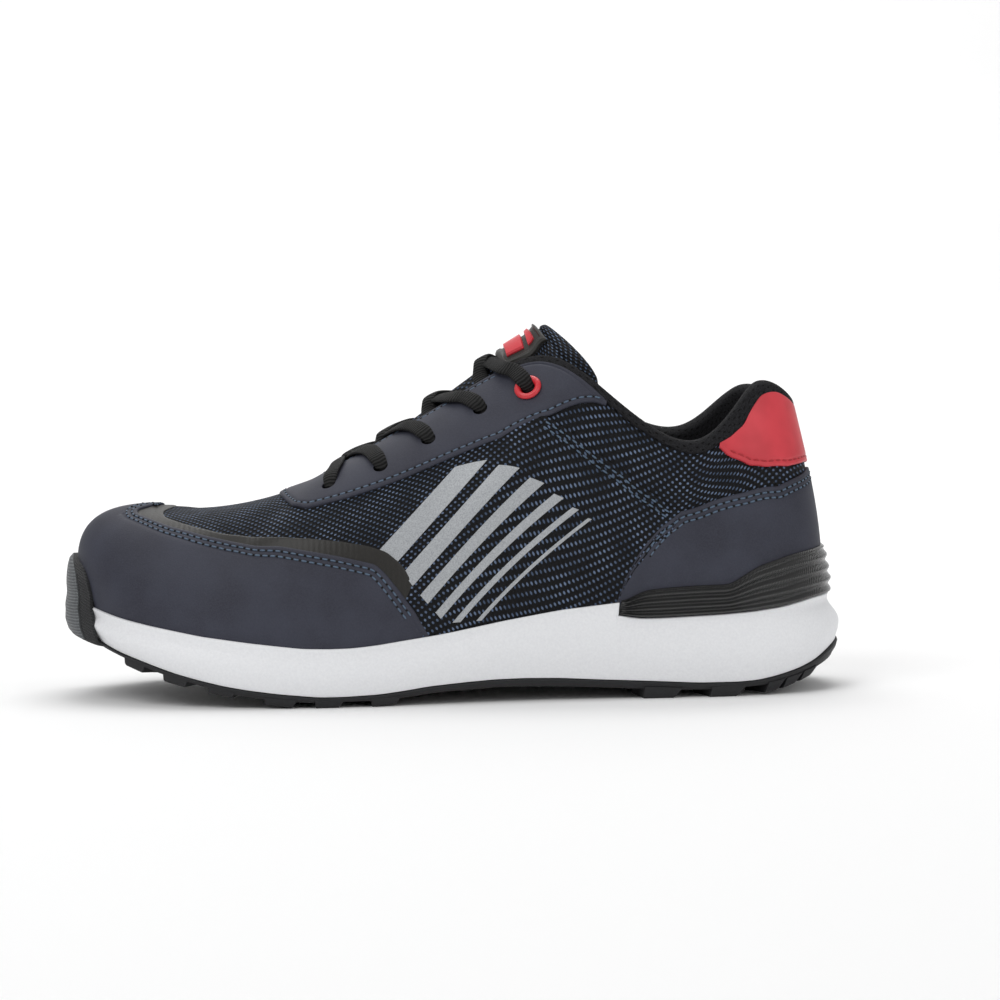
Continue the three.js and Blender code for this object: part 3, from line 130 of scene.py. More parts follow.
TREAD = [
    [0, 46], [1.6, 38], [3.2, 30], [4, 26.5], [5.2, 21.5], [6.3, 17], [7.5, 12.5], [9.4, 6.5], [12.7, 1.2],
    [15, 0], [26.7, 0], [30.7, 4.5], [36.7, 12], [50, 14], [55, 6], [60, 0], [69.3, 0], [73.3, 6], [77, 14.5],
    [80, 21.3], [82.8, 27.4], [85.9, 36.1], [88.5, 46.2], [91.1, 56.7], [94, 70],
]
STABILIZER_LOW = [
    [0, 137], [3.3, 136], [5.3, 134], [6.7, 130], [9, 124], [12.7, 119], [16.7, 116], [20.3, 114.5],
    [24, 113], [27, 113], [29.5, 117],
]
STABILIZER_HIGH = [
    [0, 203], [3, 203], [5.7, 198], [7.8, 194], [12, 180], [13.9, 168], [15.6, 156], [20.3, 155], [24, 153],
    [27, 150], [29.5, 136],
]
# Plan offset of the midsole's side from the feather edge: station, at the bulge, at the bottom edge
MIDSOLE_SIDE = [
    [0, 9.2, 7.8], [1, 8.4, 7.2], [2, 7.0, 6.0], [3, 6.2, 5.4], [4, 5.8, 5.2], [5, 5.2, 4.8], [6, 4.9, 4.6],
    [7, 4.8, 4.5], [8, 4.7, 4.3], [9, 4.6, 4.2], [10, 4.8, 4.2], [11, 5.0, 4.0], [12, 5.2, 3.8],
    [13, 4.4, 2.4], [14, 3.6, 1.2],
]

# Lines on the upper: station, share of the station's curve in percent
CAP_TOP = [
    [7.1, 7], [7.25, 11], [7.52, 17.5], [7.88, 24], [8.25, 30], [8.5, 33.5], [8.72, 35], [9.15, 38],
    [9.65, 41], [10.15, 44], [10.55, 45], [11, 48], [11.45, 51.5], [11.8, 55], [12.12, 58], [12.57, 63.5],
    [12.9, 67], [13.05, 68], [13.32, 73], [13.5, 81], [13.75, 87], [14, 91],
]
FILM_TOP = [
    [6.8, 9], [6.92, 12.5], [7.27, 19], [7.67, 25.5], [8.1, 32.5], [8.45, 37], [8.8, 40], [9.25, 43],
    [9.8, 46], [10.38, 48.5], [10.83, 50.5], [11.25, 53], [11.72, 58], [12.15, 63.5], [12.57, 69.5],
    [12.9, 77], [13.2, 86], [13.47, 92.5], [13.75, 94.5], [14, 95],
]
EYESTAY_LOW = [
    [5.95, 95], [6.05, 93], [6.25, 90.5], [6.5, 85.5], [6.9, 76], [7.6, 66.5], [8.05, 64.5], [8.55, 63],
    [9.1, 61.5], [9.75, 60.5], [10.27, 60.5], [10.55, 64], [10.8, 70], [11.05, 77], [11.3, 86], [11.45, 97],
]
BAND_LOW = [
    [0, 97.6], [1.55, 97.2], [2.1, 95.5], [2.42, 91.5], [2.62, 87.5], [3, 88.5], [3.42, 92.5], [3.9, 94.5],
    [4.5, 96.5], [5, 96.5], [5.4, 95.5], [6, 95.5], [6.33, 95.8], [7.1, 95.8], [7.4, 96.3], [7.78, 96.3],
    [8, 94.5],
]
COUNTER_TOP = [
    [0, 67], [0.4, 67], [1.03, 61.5], [1.75, 55.5], [2.5, 56.5], [3.27, 60.5], [3.95, 61.5], [4.02, 59.5],
    [4.22, 54], [4.35, 45], [4.4, 34.5], [4.42, 18],
]
PATCH_LOW = [
    [0, 69.5], [0.6, 69.3], [1.45, 64], [2, 63.8], [2.4, 67], [2.9, 76.5], [3.1, 81.5], [3.22, 85.5],
    [3.36, 90.5],
]
QUARTER_SEAM = [
    [3.9, 61], [4.02, 62], [4.55, 69], [5.32, 73.5], [6.02, 74], [6.7, 74.5], [6.9, 75], [8.4, 75],
]
EYELETS = [[10.22, 0.715], [9.5, 0.715], [8.95, 0.765], [8.28, 0.805], [7.5, 0.835]]
EDGE_LUGS = [
    [4.2, 5.9], [6.3, 8.2], [8.6, 10.6], [13.7, 17.8], [21.8, 26.2], [56.8, 60.3], [63.8, 67.2],
    [69.6, 73.4], [77.2, 80.4], [83, 86], [88.4, 91],
]
CENTRE_LUGS = [
    [12.9, 16.2], [17.4, 20.7], [21.9, 25.8], [57.5, 61], [62.2, 65.7], [66.9, 69.3], [71.6, 75],
    [76.2, 79.6],
]
# Creases: from station and share to station and share, half width and depth in mm; a ridge is negative
CREASES = [
    [10.7, 0.52, 11.0, 0.97, 4.5, 0.45],
    [10.2, 0.50, 10.45, 0.62, 4.0, -0.35],
    [11.6, 0.12, 10.1, 0.26, 9.0, 0.35],
    [9.3, 0.10, 8.2, 0.20, 7.0, -0.30],
    [6.3, 0.30, 5.2, 0.55, 5.0, 0.30],
    [5.6, 0.22, 5.0, 0.40, 4.0, -0.25],
    [4.9, 0.78, 3.9, 0.74, 3.5, 0.40],
    [5.5, 0.84, 4.6, 0.86, 3.0, -0.30],
    [3.1, 0.70, 2.2, 0.64, 3.5, 0.35],
    [2.6, 0.30, 1.4, 0.36, 8.0, 0.30],
]


def mix(a, b, t):
    """The value between a and b at share t."""
    return a + (b - a) * t


def fade(x, start, end):
    """0 before start, 1 after end, and a smooth S between them."""
    t = np.clip((x - start) / (end - start), 0, 1)
    return t * t * (3 - 2 * t)


def line_at(points, x, column=1):
    """Height of a broken line at x."""
    table = np.array(points, float)
    return np.interp(x, table[:, 0], table[:, column])


def soft_line(points, x, reach=0.06):
    """The same line with its corners rounded: the mean of five places round x."""
    return sum(line_at(points, x + reach * k) for k in (-1, -0.5, 0, 0.5, 1)) / 5


def unit(vectors):
    """Vectors scaled to length 1."""
    return vectors / np.maximum(np.linalg.norm(vectors, axis=-1, keepdims=True), 1e-9)


def from_heel(station):
    """Distance from the heel's centre station, the same on both sides of the foot."""
    turn = np.mod(station, STATIONS)
    return np.minimum(turn, STATIONS - turn)


def stack_line(points, along):
    """Height of a side line of the sole, from its table of percents."""
    return HEEL_STACK * soft_line(points, 100 * along / SHOE_LENGTH, 0.7) / 100


def station_controls():
    """Control points of the closed cubic B-spline that follows the station rows."""
    rows = np.array(OUTER_STATIONS + INNER_STATIONS[::-1], float)
    heights = rows[:, 4]
    scaled = np.stack([
        rows[:, 0] * SHOE_LENGTH, rows[:, 1] * BALL_WIDTH, rows[:, 2] * HEEL_STACK, rows[:, 3] * BALL_WIDTH,
        rows[:, 5] * heights, rows[:, 6] * SHOE_LENGTH, rows[:, 7] * BALL_WIDTH, rows[:, 8] * heights,
        rows[:, 9] * BALL_WIDTH, rows[:, 10] * heights,
    ], 1) / 100
    return (8 * scaled - np.roll(scaled, 1, 0) - np.roll(scaled, -1, 0)) / 6


CONTROLS = station_controls()


def row_at(station):
    """Station values by the uniform cubic B-spline."""
    turn = np.mod(np.asarray(station, float), STATIONS)
    i = np.floor(turn).astype(int)
    f = turn - i
    weights = (
        (1 - f) ** 3 / 6, (3 * f**3 - 6 * f * f + 4) / 6, (-3 * f**3 + 3 * f * f + 3 * f + 1) / 6, f**3 / 6,
    )
    return sum(w[..., None] * CONTROLS[(i + k - 1) % STATIONS] for k, w in enumerate(weights))


def outward_at(station):
    """Level direction out of the feather edge, as along and side: the edge's tangent, a quarter turn on."""
    step = row_at(np.asarray(station) + 1e-3)[..., :2] - row_at(np.asarray(station) - 1e-3)[..., :2]
    return unit(np.stack([step[..., 1], -step[..., 0]], -1))


def ridge_share(station):
    """1 where both sides' curves end on the vamp's ridge, 0 round the throat and collar."""
    return 1 - fade(np.abs(from_heel(station) - TOE), RIDGE_STATIONS, RIDGE_STATIONS + 0.6)


def surface(station, share):
    """Upper's outer surface: a cubic Bezier up each station, from the feather edge to its top point."""
    station, share = np.broadcast_arrays(np.asarray(station, float), np.asarray(share, float))
    row = row_at(station)
    out = outward_at(station)
    top = mix(row[..., 5:8], row_at(STATIONS - station)[..., 5:8], ridge_share(station)[..., None] / 2)
    foot = row[..., :3]
    rise = foot + np.concatenate([out * row[..., 3:4], row[..., 4:5]], -1)
    fall = top + np.concatenate([out * row[..., 8:9], -row[..., 9:10]], -1)
    t = share[..., None]
    s = 1 - t
    point = s**3 * foot + 3 * s * s * t * rise + 3 * s * t * t * fall + t**3 * top
    return np.stack([MIDDLE_ALONG - point[..., 0], point[..., 1] - MIDDLE_SIDE, point[..., 2]], -1)


def own_normal(station, share):
    """Cross product of the way up and the way round."""
    step = 1e-3
    around = surface(station + step, share) - surface(station - step, share)
    up = surface(station, np.minimum(share + step, 1)) - surface(station, np.maximum(share - step, 0))
    return unit(np.cross(up, around))


def surface_normal(station, share):
    """The surface's normal; towards the ridge both sides share one."""
    station, share = np.broadcast_arrays(np.asarray(station, float), np.asarray(share, float))
    weight = (ridge_share(station) / 2 * fade(share, 0.8, 1))[..., None]
    return unit(mix(own_normal(station, share), own_normal(STATIONS - station, share), weight))


def relief(station, share):
    """Sum of the creases: each a soft trough of Gaussian section along its line."""
    near = from_heel(station) * STATION_MM
    high = share * CURVE_MM
    total = np.zeros(np.broadcast(near, high).shape)
    for s0, t0, s1, t1, width, depth in CREASES:
        ax, ay, bx, by = s0 * STATION_MM, t0 * CURVE_MM, s1 * STATION_MM, t1 * CURVE_MM
        span = (bx - ax) ** 2 + (by - ay) ** 2
        k = np.clip(((near - ax) * (bx - ax) + (high - ay) * (by - ay)) / span, 0, 1)
        gap = np.hypot(near - mix(ax, bx, k), high - mix(ay, by, k))
        total = total - depth * np.exp(-((gap / width) ** 2))
    return total


def skin(station, share, distance):
    """Surface point moved out along the normal, creases included."""
    station, share = np.broadcast_arrays(np.asarray(station, float), np.asarray(share, float))
    reach = distance + relief(station, share)
    return surface(station, share) + surface_normal(station, share) * np.asarray(reach)[..., None]


def level_offset(station, share, distance):
    """Surface point moved level with the ground, so that its height stays."""
    normal = surface_normal(station, share)
    level = np.maximum(normal[..., 0] ** 2 + normal[..., 1] ** 2, 0.05)
    shift = normal[..., :2] * (distance / level)[..., None]
    return surface(station, share) + np.concatenate([shift, np.zeros_like(shift[..., :1])], -1)


def share_at_height(station, height):
    """Share at which the surface reaches a height, by halving."""
    station = np.asarray(station, float)
    low = np.zeros(np.broadcast(station, height).shape)
    high = low + 0.8
    for _ in range(20):
        middle = (low + high) / 2
        below = surface(station, middle)[..., 2] < height
        low = np.where(below, middle, low)
        high = np.where(below, high, middle)
    return low


def beside_feather(station, out, height):
    """Point beside the feather edge in plan, at a height."""
    row = row_at(station)
    normal = outward_at(station)
    out = np.broadcast_to(out, np.shape(station))
    along = row[..., 0] + normal[..., 0] * out
    side = row[..., 1] + normal[..., 1] * out
    return np.stack([MIDDLE_ALONG - along, side - MIDDLE_SIDE, np.broadcast_to(height, along.shape)], -1)


def along_of(points):
    """Distance from the heel's back."""
    return MIDDLE_ALONG - points[..., 0]


def with_height(points, height):
    """The same points at another height."""
    return np.stack([points[..., 0], points[..., 1], np.broadcast_to(height, points.shape[:-1])], -1)


def weave_uv(station, share):
    """Cloth coordinates in mm: the place along the shoe, and the arc length up to the top, signed by side."""
    steps = np.linspace(0, 1, 17)
    station, share = np.broadcast_arrays(np.asarray(station, float), np.asarray(share, float))
    path = surface(station[..., None], share[..., None] + (1 - share[..., None]) * steps)
    parts = np.diff(path, axis=-2)
    run = np.linalg.norm(parts, axis=-1).sum(-1)
    side = np.where(np.mod(station, STATIONS) < TOE, 1, -1)
    return np.stack([path[..., 0, 0], run * side], -1)


# Meshes

def weld(points, faces, uv):
    """Merges points that share a place and drops repeated corners, so that flat quads become triangles."""
    keys, index = np.unique(np.round(points / 2e-3).astype(np.int64), axis=0, return_inverse=True)
    index = index.reshape(-1)
    places = np.zeros((len(keys), 3))
    places[index] = points
    corners = index[faces]
    keep = corners != np.roll(corners, 1, axis=1)
    sound = keep.sum(1) >= 3
    keep = keep[sound]
    return places, corners[sound][keep], keep.sum(1), uv[faces[sound][keep]], sound


def make_piece(name, points, faces, uv, materials, replaced=(), tones=None, sharp=35):
    """Puts a mesh of mm points into the scene as one piece that rides on the shoe."""
    places, loops, totals, loop_uv, sound = weld(points, faces, uv)
    mesh = bpy.data.meshes.new(name)
    mesh.vertices.add(len(places))
    mesh.vertices.foreach_set("co", (places * MM).astype(np.float32).ravel())
    mesh.loops.add(len(loops))
    mesh.loops.foreach_set("vertex_index", loops.astype(np.int32))
    mesh.polygons.add(len(totals))
    starts = np.concatenate([[0], np.cumsum(totals)[:-1]])
    mesh.polygons.foreach_set("loop_start", starts.astype(np.int32))
    mesh.polygons.foreach_set("use_smooth", np.ones(len(totals), bool))
    for material in materials:
        mesh.materials.append(material)
    if tones is not None:
        mesh.polygons.foreach_set("material_index", tones[sound].astype(np.int32))
    mesh.update(calc_edges=True)
    mesh.validate()
    layer = mesh.uv_layers.new(name="UVMap")
    layer.data.foreach_set("uv", loop_uv.astype(np.float32).ravel())
    mesh.set_sharp_from_angle(angle=math.radians(sharp))
    piece = bpy.data.objects.new(name, mesh)
    bpy.context.scene.collection.objects.link(piece)
    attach(piece, "root")
    if replaced:
        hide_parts(*replaced)
    return piece


def facing_out(points, faces):
    """Faces turned over as a whole where the body's volume comes out negative."""
    a, b, c, d = (points[faces[:, k]] for k in range(4))
    volume = np.einsum("ij,ij->", a, np.cross(b, c)) + np.einsum("ij,ij->", a, np.cross(c, d))
    return faces if volume > 0 else faces[:, ::-1]


def slab(front, back, keep=None, wrap=False, open_top=None):
    """Closed body between two grids of one shape: both sheets, and a wall along every free edge.

    keep leaves cells out, wrap joins the last column to the first, and open_top names the columns whose
    top edge needs no wall because its neighbour across the ridge meets it.
    """
    rows, cols = front.shape[:2]
    wide = cols if wrap else cols - 1
    i, j = np.meshgrid(np.arange(rows - 1), np.arange(wide), indexing="ij")
    right = (j + 1) % cols
    corner = np.stack([i * cols + j, i * cols + right, (i + 1) * cols + right, (i + 1) * cols + j], -1)
    if keep is None:
        keep = np.ones((rows - 1, wide), bool)
    behind = rows * cols
    sheets = [corner[keep], corner[keep][:, ::-1] + behind]
    padded = np.zeros((rows + 1, wide + 2), bool)
    padded[1:-1, 1:-1] = keep
    if wrap:
        padded[1:-1, 0] = keep[:, -1]
        padded[1:-1, -1] = keep[:, 0]
    neighbours = [padded[:-2, 1:-1], padded[1:-1, 2:], padded[2:, 1:-1], padded[1:-1, :-2]]
    for start, end, neighbour in zip((0, 1, 2, 3), (1, 2, 3, 0), neighbours):
        edge = keep & ~neighbour
        if start == 2 and open_top is not None:
            edge = edge.copy()
            edge[-1] &= ~open_top
        a, b = corner[..., start][edge], corner[..., end][edge]
        sheets.append(np.stack([b, a, a + behind, b + behind], -1))
    points = np.concatenate([front.reshape(-1, 3), back.reshape(-1, 3)])
    faces = np.concatenate(sheets)
    walls = np.concatenate(sheets[2:])
    tones = np.concatenate([np.full(len(s), k) for k, s in enumerate([sheets[0], sheets[1], walls])])
    return points, facing_out(points, faces), tones


def rings(rows):
    """Faces of rings joined one to the next, each row as many points."""
    grid = np.stack(rows)
    count, cols = grid.shape[:2]
    i, j = np.meshgrid(np.arange(count - 1), np.arange(cols), indexing="ij")
    right = (j + 1) % cols
    faces = np.stack([i * cols + j, i * cols + right, (i + 1) * cols + right, (i + 1) * cols + j], -1)
    points = grid.reshape(-1, 3)
    return points, facing_out(points, faces.reshape(-1, 4))


def plan_uv(points):
    """Cloth coordinates from the place along the shoe and the height plus the side."""
    return np.stack([points[..., 0], points[..., 2] + points[..., 1]], -1)


def punch(front, back, keep, station, share, radius):
    """Opens a round hole: cells inside go, and the corners round them move on to the circle."""
    centre = surface(station, share)
    axis = surface_normal(station, share)
    for grid in (front, back):
        away = grid - centre
        away = away - (away @ axis)[..., None] * axis
        gap = np.linalg.norm(away, axis=-1)
        middle = (gap[:-1, :-1] + gap[1:, :-1] + gap[:-1, 1:] + gap[1:, 1:]) / 4
        if grid is front:
            inside = middle < radius
            keep[:, :inside.shape[1]] &= ~inside
            touched = np.zeros(gap.shape, bool)
            kept = np.zeros(gap.shape, bool)
            for di in (0, 1):
                for dj in (0, 1):
                    touched[di:gap.shape[0] - 1 + di, dj:gap.shape[1] - 1 + dj] |= inside
                    kept[di:gap.shape[0] - 1 + di, dj:gap.shape[1] - 1 + dj] |= ~inside
            rim = touched & kept
        scale = np.where(rim, radius / np.maximum(gap, 0.2), 1)
        grid += away * (scale - 1)[..., None]


# Finishes

def linear(hex_colour):
    """sRGB hex as linear colour with alpha."""
    value = np.array([int(hex_colour[k:k + 2], 16) for k in (1, 3, 5)]) / 255
    value = np.where(value <= 0.04045, value / 12.92, ((value + 0.055) / 1.055) ** 2.4)
    return (*value, 1.0)


def add(tree, kind, inputs=None, **settings):
    """Adds a node with its settings; inputs hold values, or sockets to link."""
    node = tree.nodes.new(kind)
    for name, value in settings.items():
        setattr(node, name, value)
    for name, value in (inputs or {}).items():
        if isinstance(value, bpy.types.NodeSocket):
            tree.links.new(value, node.inputs[name])
        else:
            node.inputs[name].default_value = value
    return node


def maths(tree, operation, *values):
    """A Math node's result."""
    return add(tree, "ShaderNodeMath", dict(enumerate(values)), operation=operation).outputs[0]


def ramp(tree, value, start, end, low=0.0, high=1.0):
    """Smooth step of a value between two marks."""
    inputs = {0: value, 1: start, 2: end, 3: low, 4: high}
    return add(tree, "ShaderNodeMapRange", inputs, interpolation_type="SMOOTHSTEP").outputs[0]


def blend_colours(tree, share, first, second):
    """Colour mixed from two hex colours or sockets by a share."""
    node = add(tree, "ShaderNodeMix", {0: share}, data_type="RGBA")
    for index, colour in ((6, first), (7, second)):
        if isinstance(colour, str):
            node.inputs[index].default_value = linear(colour)
        else:
            tree.links.new(colour, node.inputs[index])
    return node.outputs[2]


def noise(tree, vector, size_mm, detail=2.0):
    """Noise whose grain is about one size in mm, on Object coordinates."""
    inputs = {"Vector": vector, "Scale": 1000 / size_mm, "Detail": detail, "Roughness": 0.55}
    return add(tree, "ShaderNodeTexNoise", inputs).outputs["Fac"]


def new_material(name, roughness=0.6, **sockets):
    """A principled material with its constants, its tree, shader and Object coordinates."""
    material = bpy.data.materials.new(name)
    material.use_nodes = True
    tree = material.node_tree
    shader = tree.nodes["Principled BSDF"]
    shader.inputs["Roughness"].default_value = roughness
    for socket, value in sockets.items():
        shader.inputs[socket.replace("_", " ")].default_value = value
    place = add(tree, "ShaderNodeTexCoord").outputs["Object"]
    return material, tree, shader, place


def raise_bump(tree, shader, height, depth_mm):
    """Bump of a real depth."""
    node = add(tree, "ShaderNodeBump", {"Height": height, "Distance": depth_mm * MM, "Strength": 1.0})
    tree.links.new(node.outputs["Normal"], shader.inputs["Normal"])


def colour_by(tree, shader, share, low, high):
    """Base colour between two tones by a share."""
    tree.links.new(blend_colours(tree, share, low, high), shader.inputs["Base Color"])


def cloth_axes(tree):
    """Both cloth coordinates, along the piece and across it."""
    uv = add(tree, "ShaderNodeUVMap", uv_map="UVMap").outputs["UV"]
    parts = add(tree, "ShaderNodeSeparateXYZ", {0: uv})
    return parts.outputs["X"], parts.outputs["Y"]


def wave(tree, value, pitch_mm, kind="SINE"):
    """Sine or cosine of a length, one turn a pitch."""
    return maths(tree, kind, maths(tree, "MULTIPLY", value, 2 * math.pi / pitch_mm))


def knots(tree, pitch_along, pitch_across, lean=0.0):
    """Lattice of raised yarn knots on the cloth coordinates, a product of two cosines, and its ribs."""
    along, across = cloth_axes(tree)
    ribs = wave(tree, maths(tree, "ADD", along, maths(tree, "MULTIPLY", across, lean)), pitch_along, "COSINE")
    return maths(tree, "MULTIPLY", ribs, wave(tree, across, pitch_across, "COSINE")), ribs


def woven_mesh():
    """Polyester mesh, woven: black ground yarns with navy yarn knots that catch the light."""
    material, tree, shader, place = new_material("woven_mesh_black_navy", 0.72, Specular_IOR_Level=0.2)
    lattice, _ = knots(tree, 2.9, 2.9, 0.1)
    patches = noise(tree, place, 9)
    threads = noise(tree, place, 0.55, 3.0)
    knot = ramp(tree, maths(tree, "ADD", lattice, maths(tree, "MULTIPLY", threads, 0.3)), 0.5, 0.9)
    yarn = blend_colours(tree, ramp(tree, patches, 0.3, 0.7), "#3a475c", "#697994")
    ground = blend_colours(tree, ramp(tree, threads, 0.35, 0.7), "#070708", "#15161a")
    colour_by(tree, shader, knot, ground, yarn)
    height = maths(tree, "ADD", maths(tree, "MULTIPLY", lattice, 0.5), maths(tree, "MULTIPLY", threads, 0.35))
    raise_bump(tree, shader, height, 0.55)
    return material


def microfibre():
    """Microfibre with a matt coat: a fine pebble and a faint cloudiness, soft sheen."""
    material, tree, shader, place = new_material("microfibre_navy", 0.62, Specular_IOR_Level=0.32)
    grain = noise(tree, place, 0.55, 2.5)
    cloud = noise(tree, place, 22, 2.0)
    colour = blend_colours(tree, ramp(tree, cloud, 0.3, 0.7), "#2b2c37", "#343642")
    speck = blend_colours(tree, ramp(tree, grain, 0.25, 0.8, 0.0, 0.35), colour, "#41434f")
    tree.links.new(speck, shader.inputs["Base Color"])
    raise_bump(tree, shader, grain, 0.06)
    return material


def film():
    """Hot-melted polyurethane film: thin, smooth and satin, with the mesh's ribs faintly through it."""
    material, tree, shader, place = new_material("polyurethane_film_black", 0.42, Specular_IOR_Level=0.35)
    _, ribs = knots(tree, 2.1, 2.1)
    grain = noise(tree, place, 0.8)
    colour_by(tree, shader, grain, "#1b1a18", "#292724")
    raise_bump(tree, shader, maths(tree, "ADD", maths(tree, "MULTIPLY", ribs, 0.3), grain), 0.07)
    return material


def reflective():
    """Glass-bead reflective transfer: flat mid grey with a fine sparkle of grain."""
    material, tree, shader, place = new_material("reflective_bead_transfer_grey", 0.48, Metallic=0.15)
    beads = noise(tree, place, 0.45, 2.0)
    colour_by(tree, shader, ramp(tree, beads, 0.3, 0.7), "#93969a", "#b0b3b6")
    raise_bump(tree, shader, beads, 0.03)
    return material


def red_coat():
    """Red coated synthetic leather: smooth, with a faint grain and satin gloss."""
    material, tree, shader, place = new_material("coated_leather_red", 0.46)
    grain = noise(tree, place, 0.7, 2.5)
    cloud = noise(tree, place, 16)
    colour_by(tree, shader, ramp(tree, cloud, 0.3, 0.7), "#c02f3a", "#d23a45")
    raise_bump(tree, shader, grain, 0.04)
    return material


def spacer_mesh():
    """Spacer knit of the collar and lining: black, with rows of pinholes about 2.6 mm apart, painted near
    black as the shade inside them.
    """
    material, tree, shader, place = new_material("spacer_knit_black", 0.85, Specular_IOR_Level=0.2)
    lattice, _ = knots(tree, 5.2, 2.6)
    fuzz = noise(tree, place, 0.5, 3.0)
    # Painted shade: the pinholes are painted near black for the shade inside them, and the same mask dents
    # the bump
    hole = ramp(tree, lattice, 0.62, 0.9)
    cloth = blend_colours(tree, ramp(tree, fuzz, 0.3, 0.75), "#131315", "#27272a")
    colour_by(tree, shader, hole, cloth, "#020202")
    height = maths(tree, "SUBTRACT", maths(tree, "MULTIPLY", fuzz, 0.5), hole)
    raise_bump(tree, shader, height, 0.4)
    return material


def foam():
    """Moulded EVA foam: white, with the fine leather grain of its mould."""
    material, tree, shader, place = new_material("eva_foam_white", 0.5)
    inputs = {"Vector": place, "Scale": 1000 / 1.5, "Randomness": 1.0}
    cells = add(tree, "ShaderNodeTexVoronoi", inputs, feature="SMOOTH_F1").outputs["Distance"]
    grain = noise(tree, place, 0.9, 2.0)
    colour_by(tree, shader, grain, "#dfe0e3", "#eeeff1")
    raise_bump(tree, shader, maths(tree, "ADD", cells, maths(tree, "MULTIPLY", grain, 0.4)), 0.09)
    return material


def outsole_rubber():
    """Moulded nitrile rubber: near black, matt, with a faint skin grain."""
    material, tree, shader, place = new_material("nitrile_rubber_black", 0.62, Specular_IOR_Level=0.35)
    grain = noise(tree, place, 0.6, 2.0)
    colour_by(tree, shader, grain, "#1d1d1f", "#29292b")
    raise_bump(tree, shader, grain, 0.05)
    return material


def guard_rubber():
    """The same rubber with the mould's fine ribs, 1.1 mm apart.

    Level ribs cross a middle painted lighter as the lit face, and slanting ones the hollow sides painted dark
    as shade. Each rib's groove is painted darker as shade too.
    """
    material, tree, shader, place = new_material("ribbed_rubber_grey", 0.6)
    side, height = cloth_axes(tree)
    across = maths(tree, "ABSOLUTE", side)
    hollow = ramp(tree, across, 8.3, 8.6)
    lean = maths(tree, "MULTIPLY", maths(tree, "MULTIPLY", across, hollow), 1.6)
    rib = wave(tree, maths(tree, "ADD", height, lean), 1.1)
    grain = noise(tree, place, 0.7)
    # Painted light: the middle is painted a lighter grey as the guard's lit face, and darker in each rib's
    # groove as painted shade
    painted_lit_middle = blend_colours(tree, ramp(tree, maths(tree, "ADD", rib, grain), -0.8, 1.6), "#46494b", "#66696c")
    # Painted shade: the hollow sides next to the toe cap are painted near black
    painted_shade_sides = blend_colours(tree, ramp(tree, rib, -1.0, 1.0), "#161718", "#232426")
    colour_by(tree, shader, hollow, painted_lit_middle, painted_shade_sides)
    raise_bump(tree, shader, maths(tree, "ADD", rib, maths(tree, "MULTIPLY", grain, 0.5)), 0.12)
    return material


def clip_plastic():
    """Injection-moulded TPU: glossy black with a fine slanting hatch from its mould."""
    material, tree, shader, place = new_material("thermoplastic_urethane_black", 0.24, Coat_Weight=0.25)
    around, up = cloth_axes(tree)
    hatch = wave(tree, maths(tree, "ADD", around, maths(tree, "MULTIPLY", up, 0.8)), 1.2)
    grain = noise(tree, place, 1.5)
    colour_by(tree, shader, grain, "#141414", "#232323")
    raise_bump(tree, shader, maths(tree, "ADD", hatch, grain), 0.09)
    return material


def plain(name, low, high, roughness, grain_mm, depth_mm, **sockets):
    """A moulded finish: two close tones and a faint grain."""
    material, tree, shader, place = new_material(name, roughness, **sockets)
    grain = noise(tree, place, grain_mm)
    colour_by(tree, shader, grain, low, high)
    raise_bump(tree, shader, grain, depth_mm)
    return material


def lace_cloth():
    """Flat braided polyester lace: black, with cross ribs 1.15 mm apart that lean towards its edges, and
    painted shade in the grooves between them.
    """
    material, tree, shader, place = new_material("braided_polyester_black", 0.75, Specular_IOR_Level=0.2)
    along, side = cloth_axes(tree)
    across = maths(tree, "ABSOLUTE", side)
    rib = wave(tree, maths(tree, "ADD", along, maths(tree, "MULTIPLY", across, 0.1)), 1.15)
    fuzz = noise(tree, place, 0.4, 3.0)
    height = maths(tree, "ADD", maths(tree, "MULTIPLY", rib, 0.5), fuzz)
    # Colour follows the braid's height: painted shade in the grooves between ribs, with the fuzz varying the
    # tone at random
    colour_by(tree, shader, ramp(tree, height, -0.1, 1.2), "#0a0a0a", "#2a2a2a")
    raise_bump(tree, shader, height, 0.3)
    return material


MESH = woven_mesh()
MICROFIBRE = microfibre()
FILM = film()
REFLECTIVE = reflective()
RED_COAT = red_coat()
LINING = spacer_mesh()
FOAM = foam()
RUBBER = outsole_rubber()
GUARD = guard_rubber()
CLIP = clip_plastic()
LACE = lace_cloth()
# Moulded ring and badge, bonded sewing threads, and the painted shade inside a needle hole
RING = plain("acetal_red", "#c4242e", "#d02d37", 0.32, 3.0, 0.02, Coat_Weight=0.2)
BADGE = plain("soft_rubber_black", "#242321", "#302f2c", 0.5, 0.8, 0.05)
BARS = plain("soft_rubber_red", "#c62c37", "#d63843", 0.4, 0.8, 0.03)
THREAD = plain("bonded_nylon_blue_grey", "#3b4d60", "#5c7086", 0.55, 0.5, 0.05)
HOLE = plain("needle_hole_painted_shade", "#060606", "#0c0c0d", 0.9, 0.5, 0.02)
RED_THREAD = plain("bonded_nylon_red", "#8e1620", "#b8222e", 0.5, 0.5, 0.05)


# Upper

def wall_at(station, share):
    """The upper's wall, padded round the ankle."""
    ankle = 1 - fade(from_heel(station), 5.2, 6.8)
    return UPPER_WALL + COLLAR_PADDING * ankle * fade(share, 0.6, 0.8)


def rim_point(station, angle, reach):
    """Point of the rim: a flattened half round over the wall, 0 at its outer side and pi at its inner."""
    half = wall_at(station, np.ones_like(station)) / 2
    up = unit(surface(station, np.ones_like(station)) - surface(station, np.full_like(station, 0.97)))
    out = surface_normal(station, np.ones_like(station))
    radius = half + reach
    level = (-half + radius * np.cos(angle))[..., None]
    lift = (0.7 * radius * np.sin(angle) * (1 - ridge_share(station)))[..., None]
    return skin(station, 1.0, 0.0) + out * level + up * lift


def upper_columns():
    """Stations round the foot, the same on both sides."""
    return np.arange(0, STATIONS, 0.05)


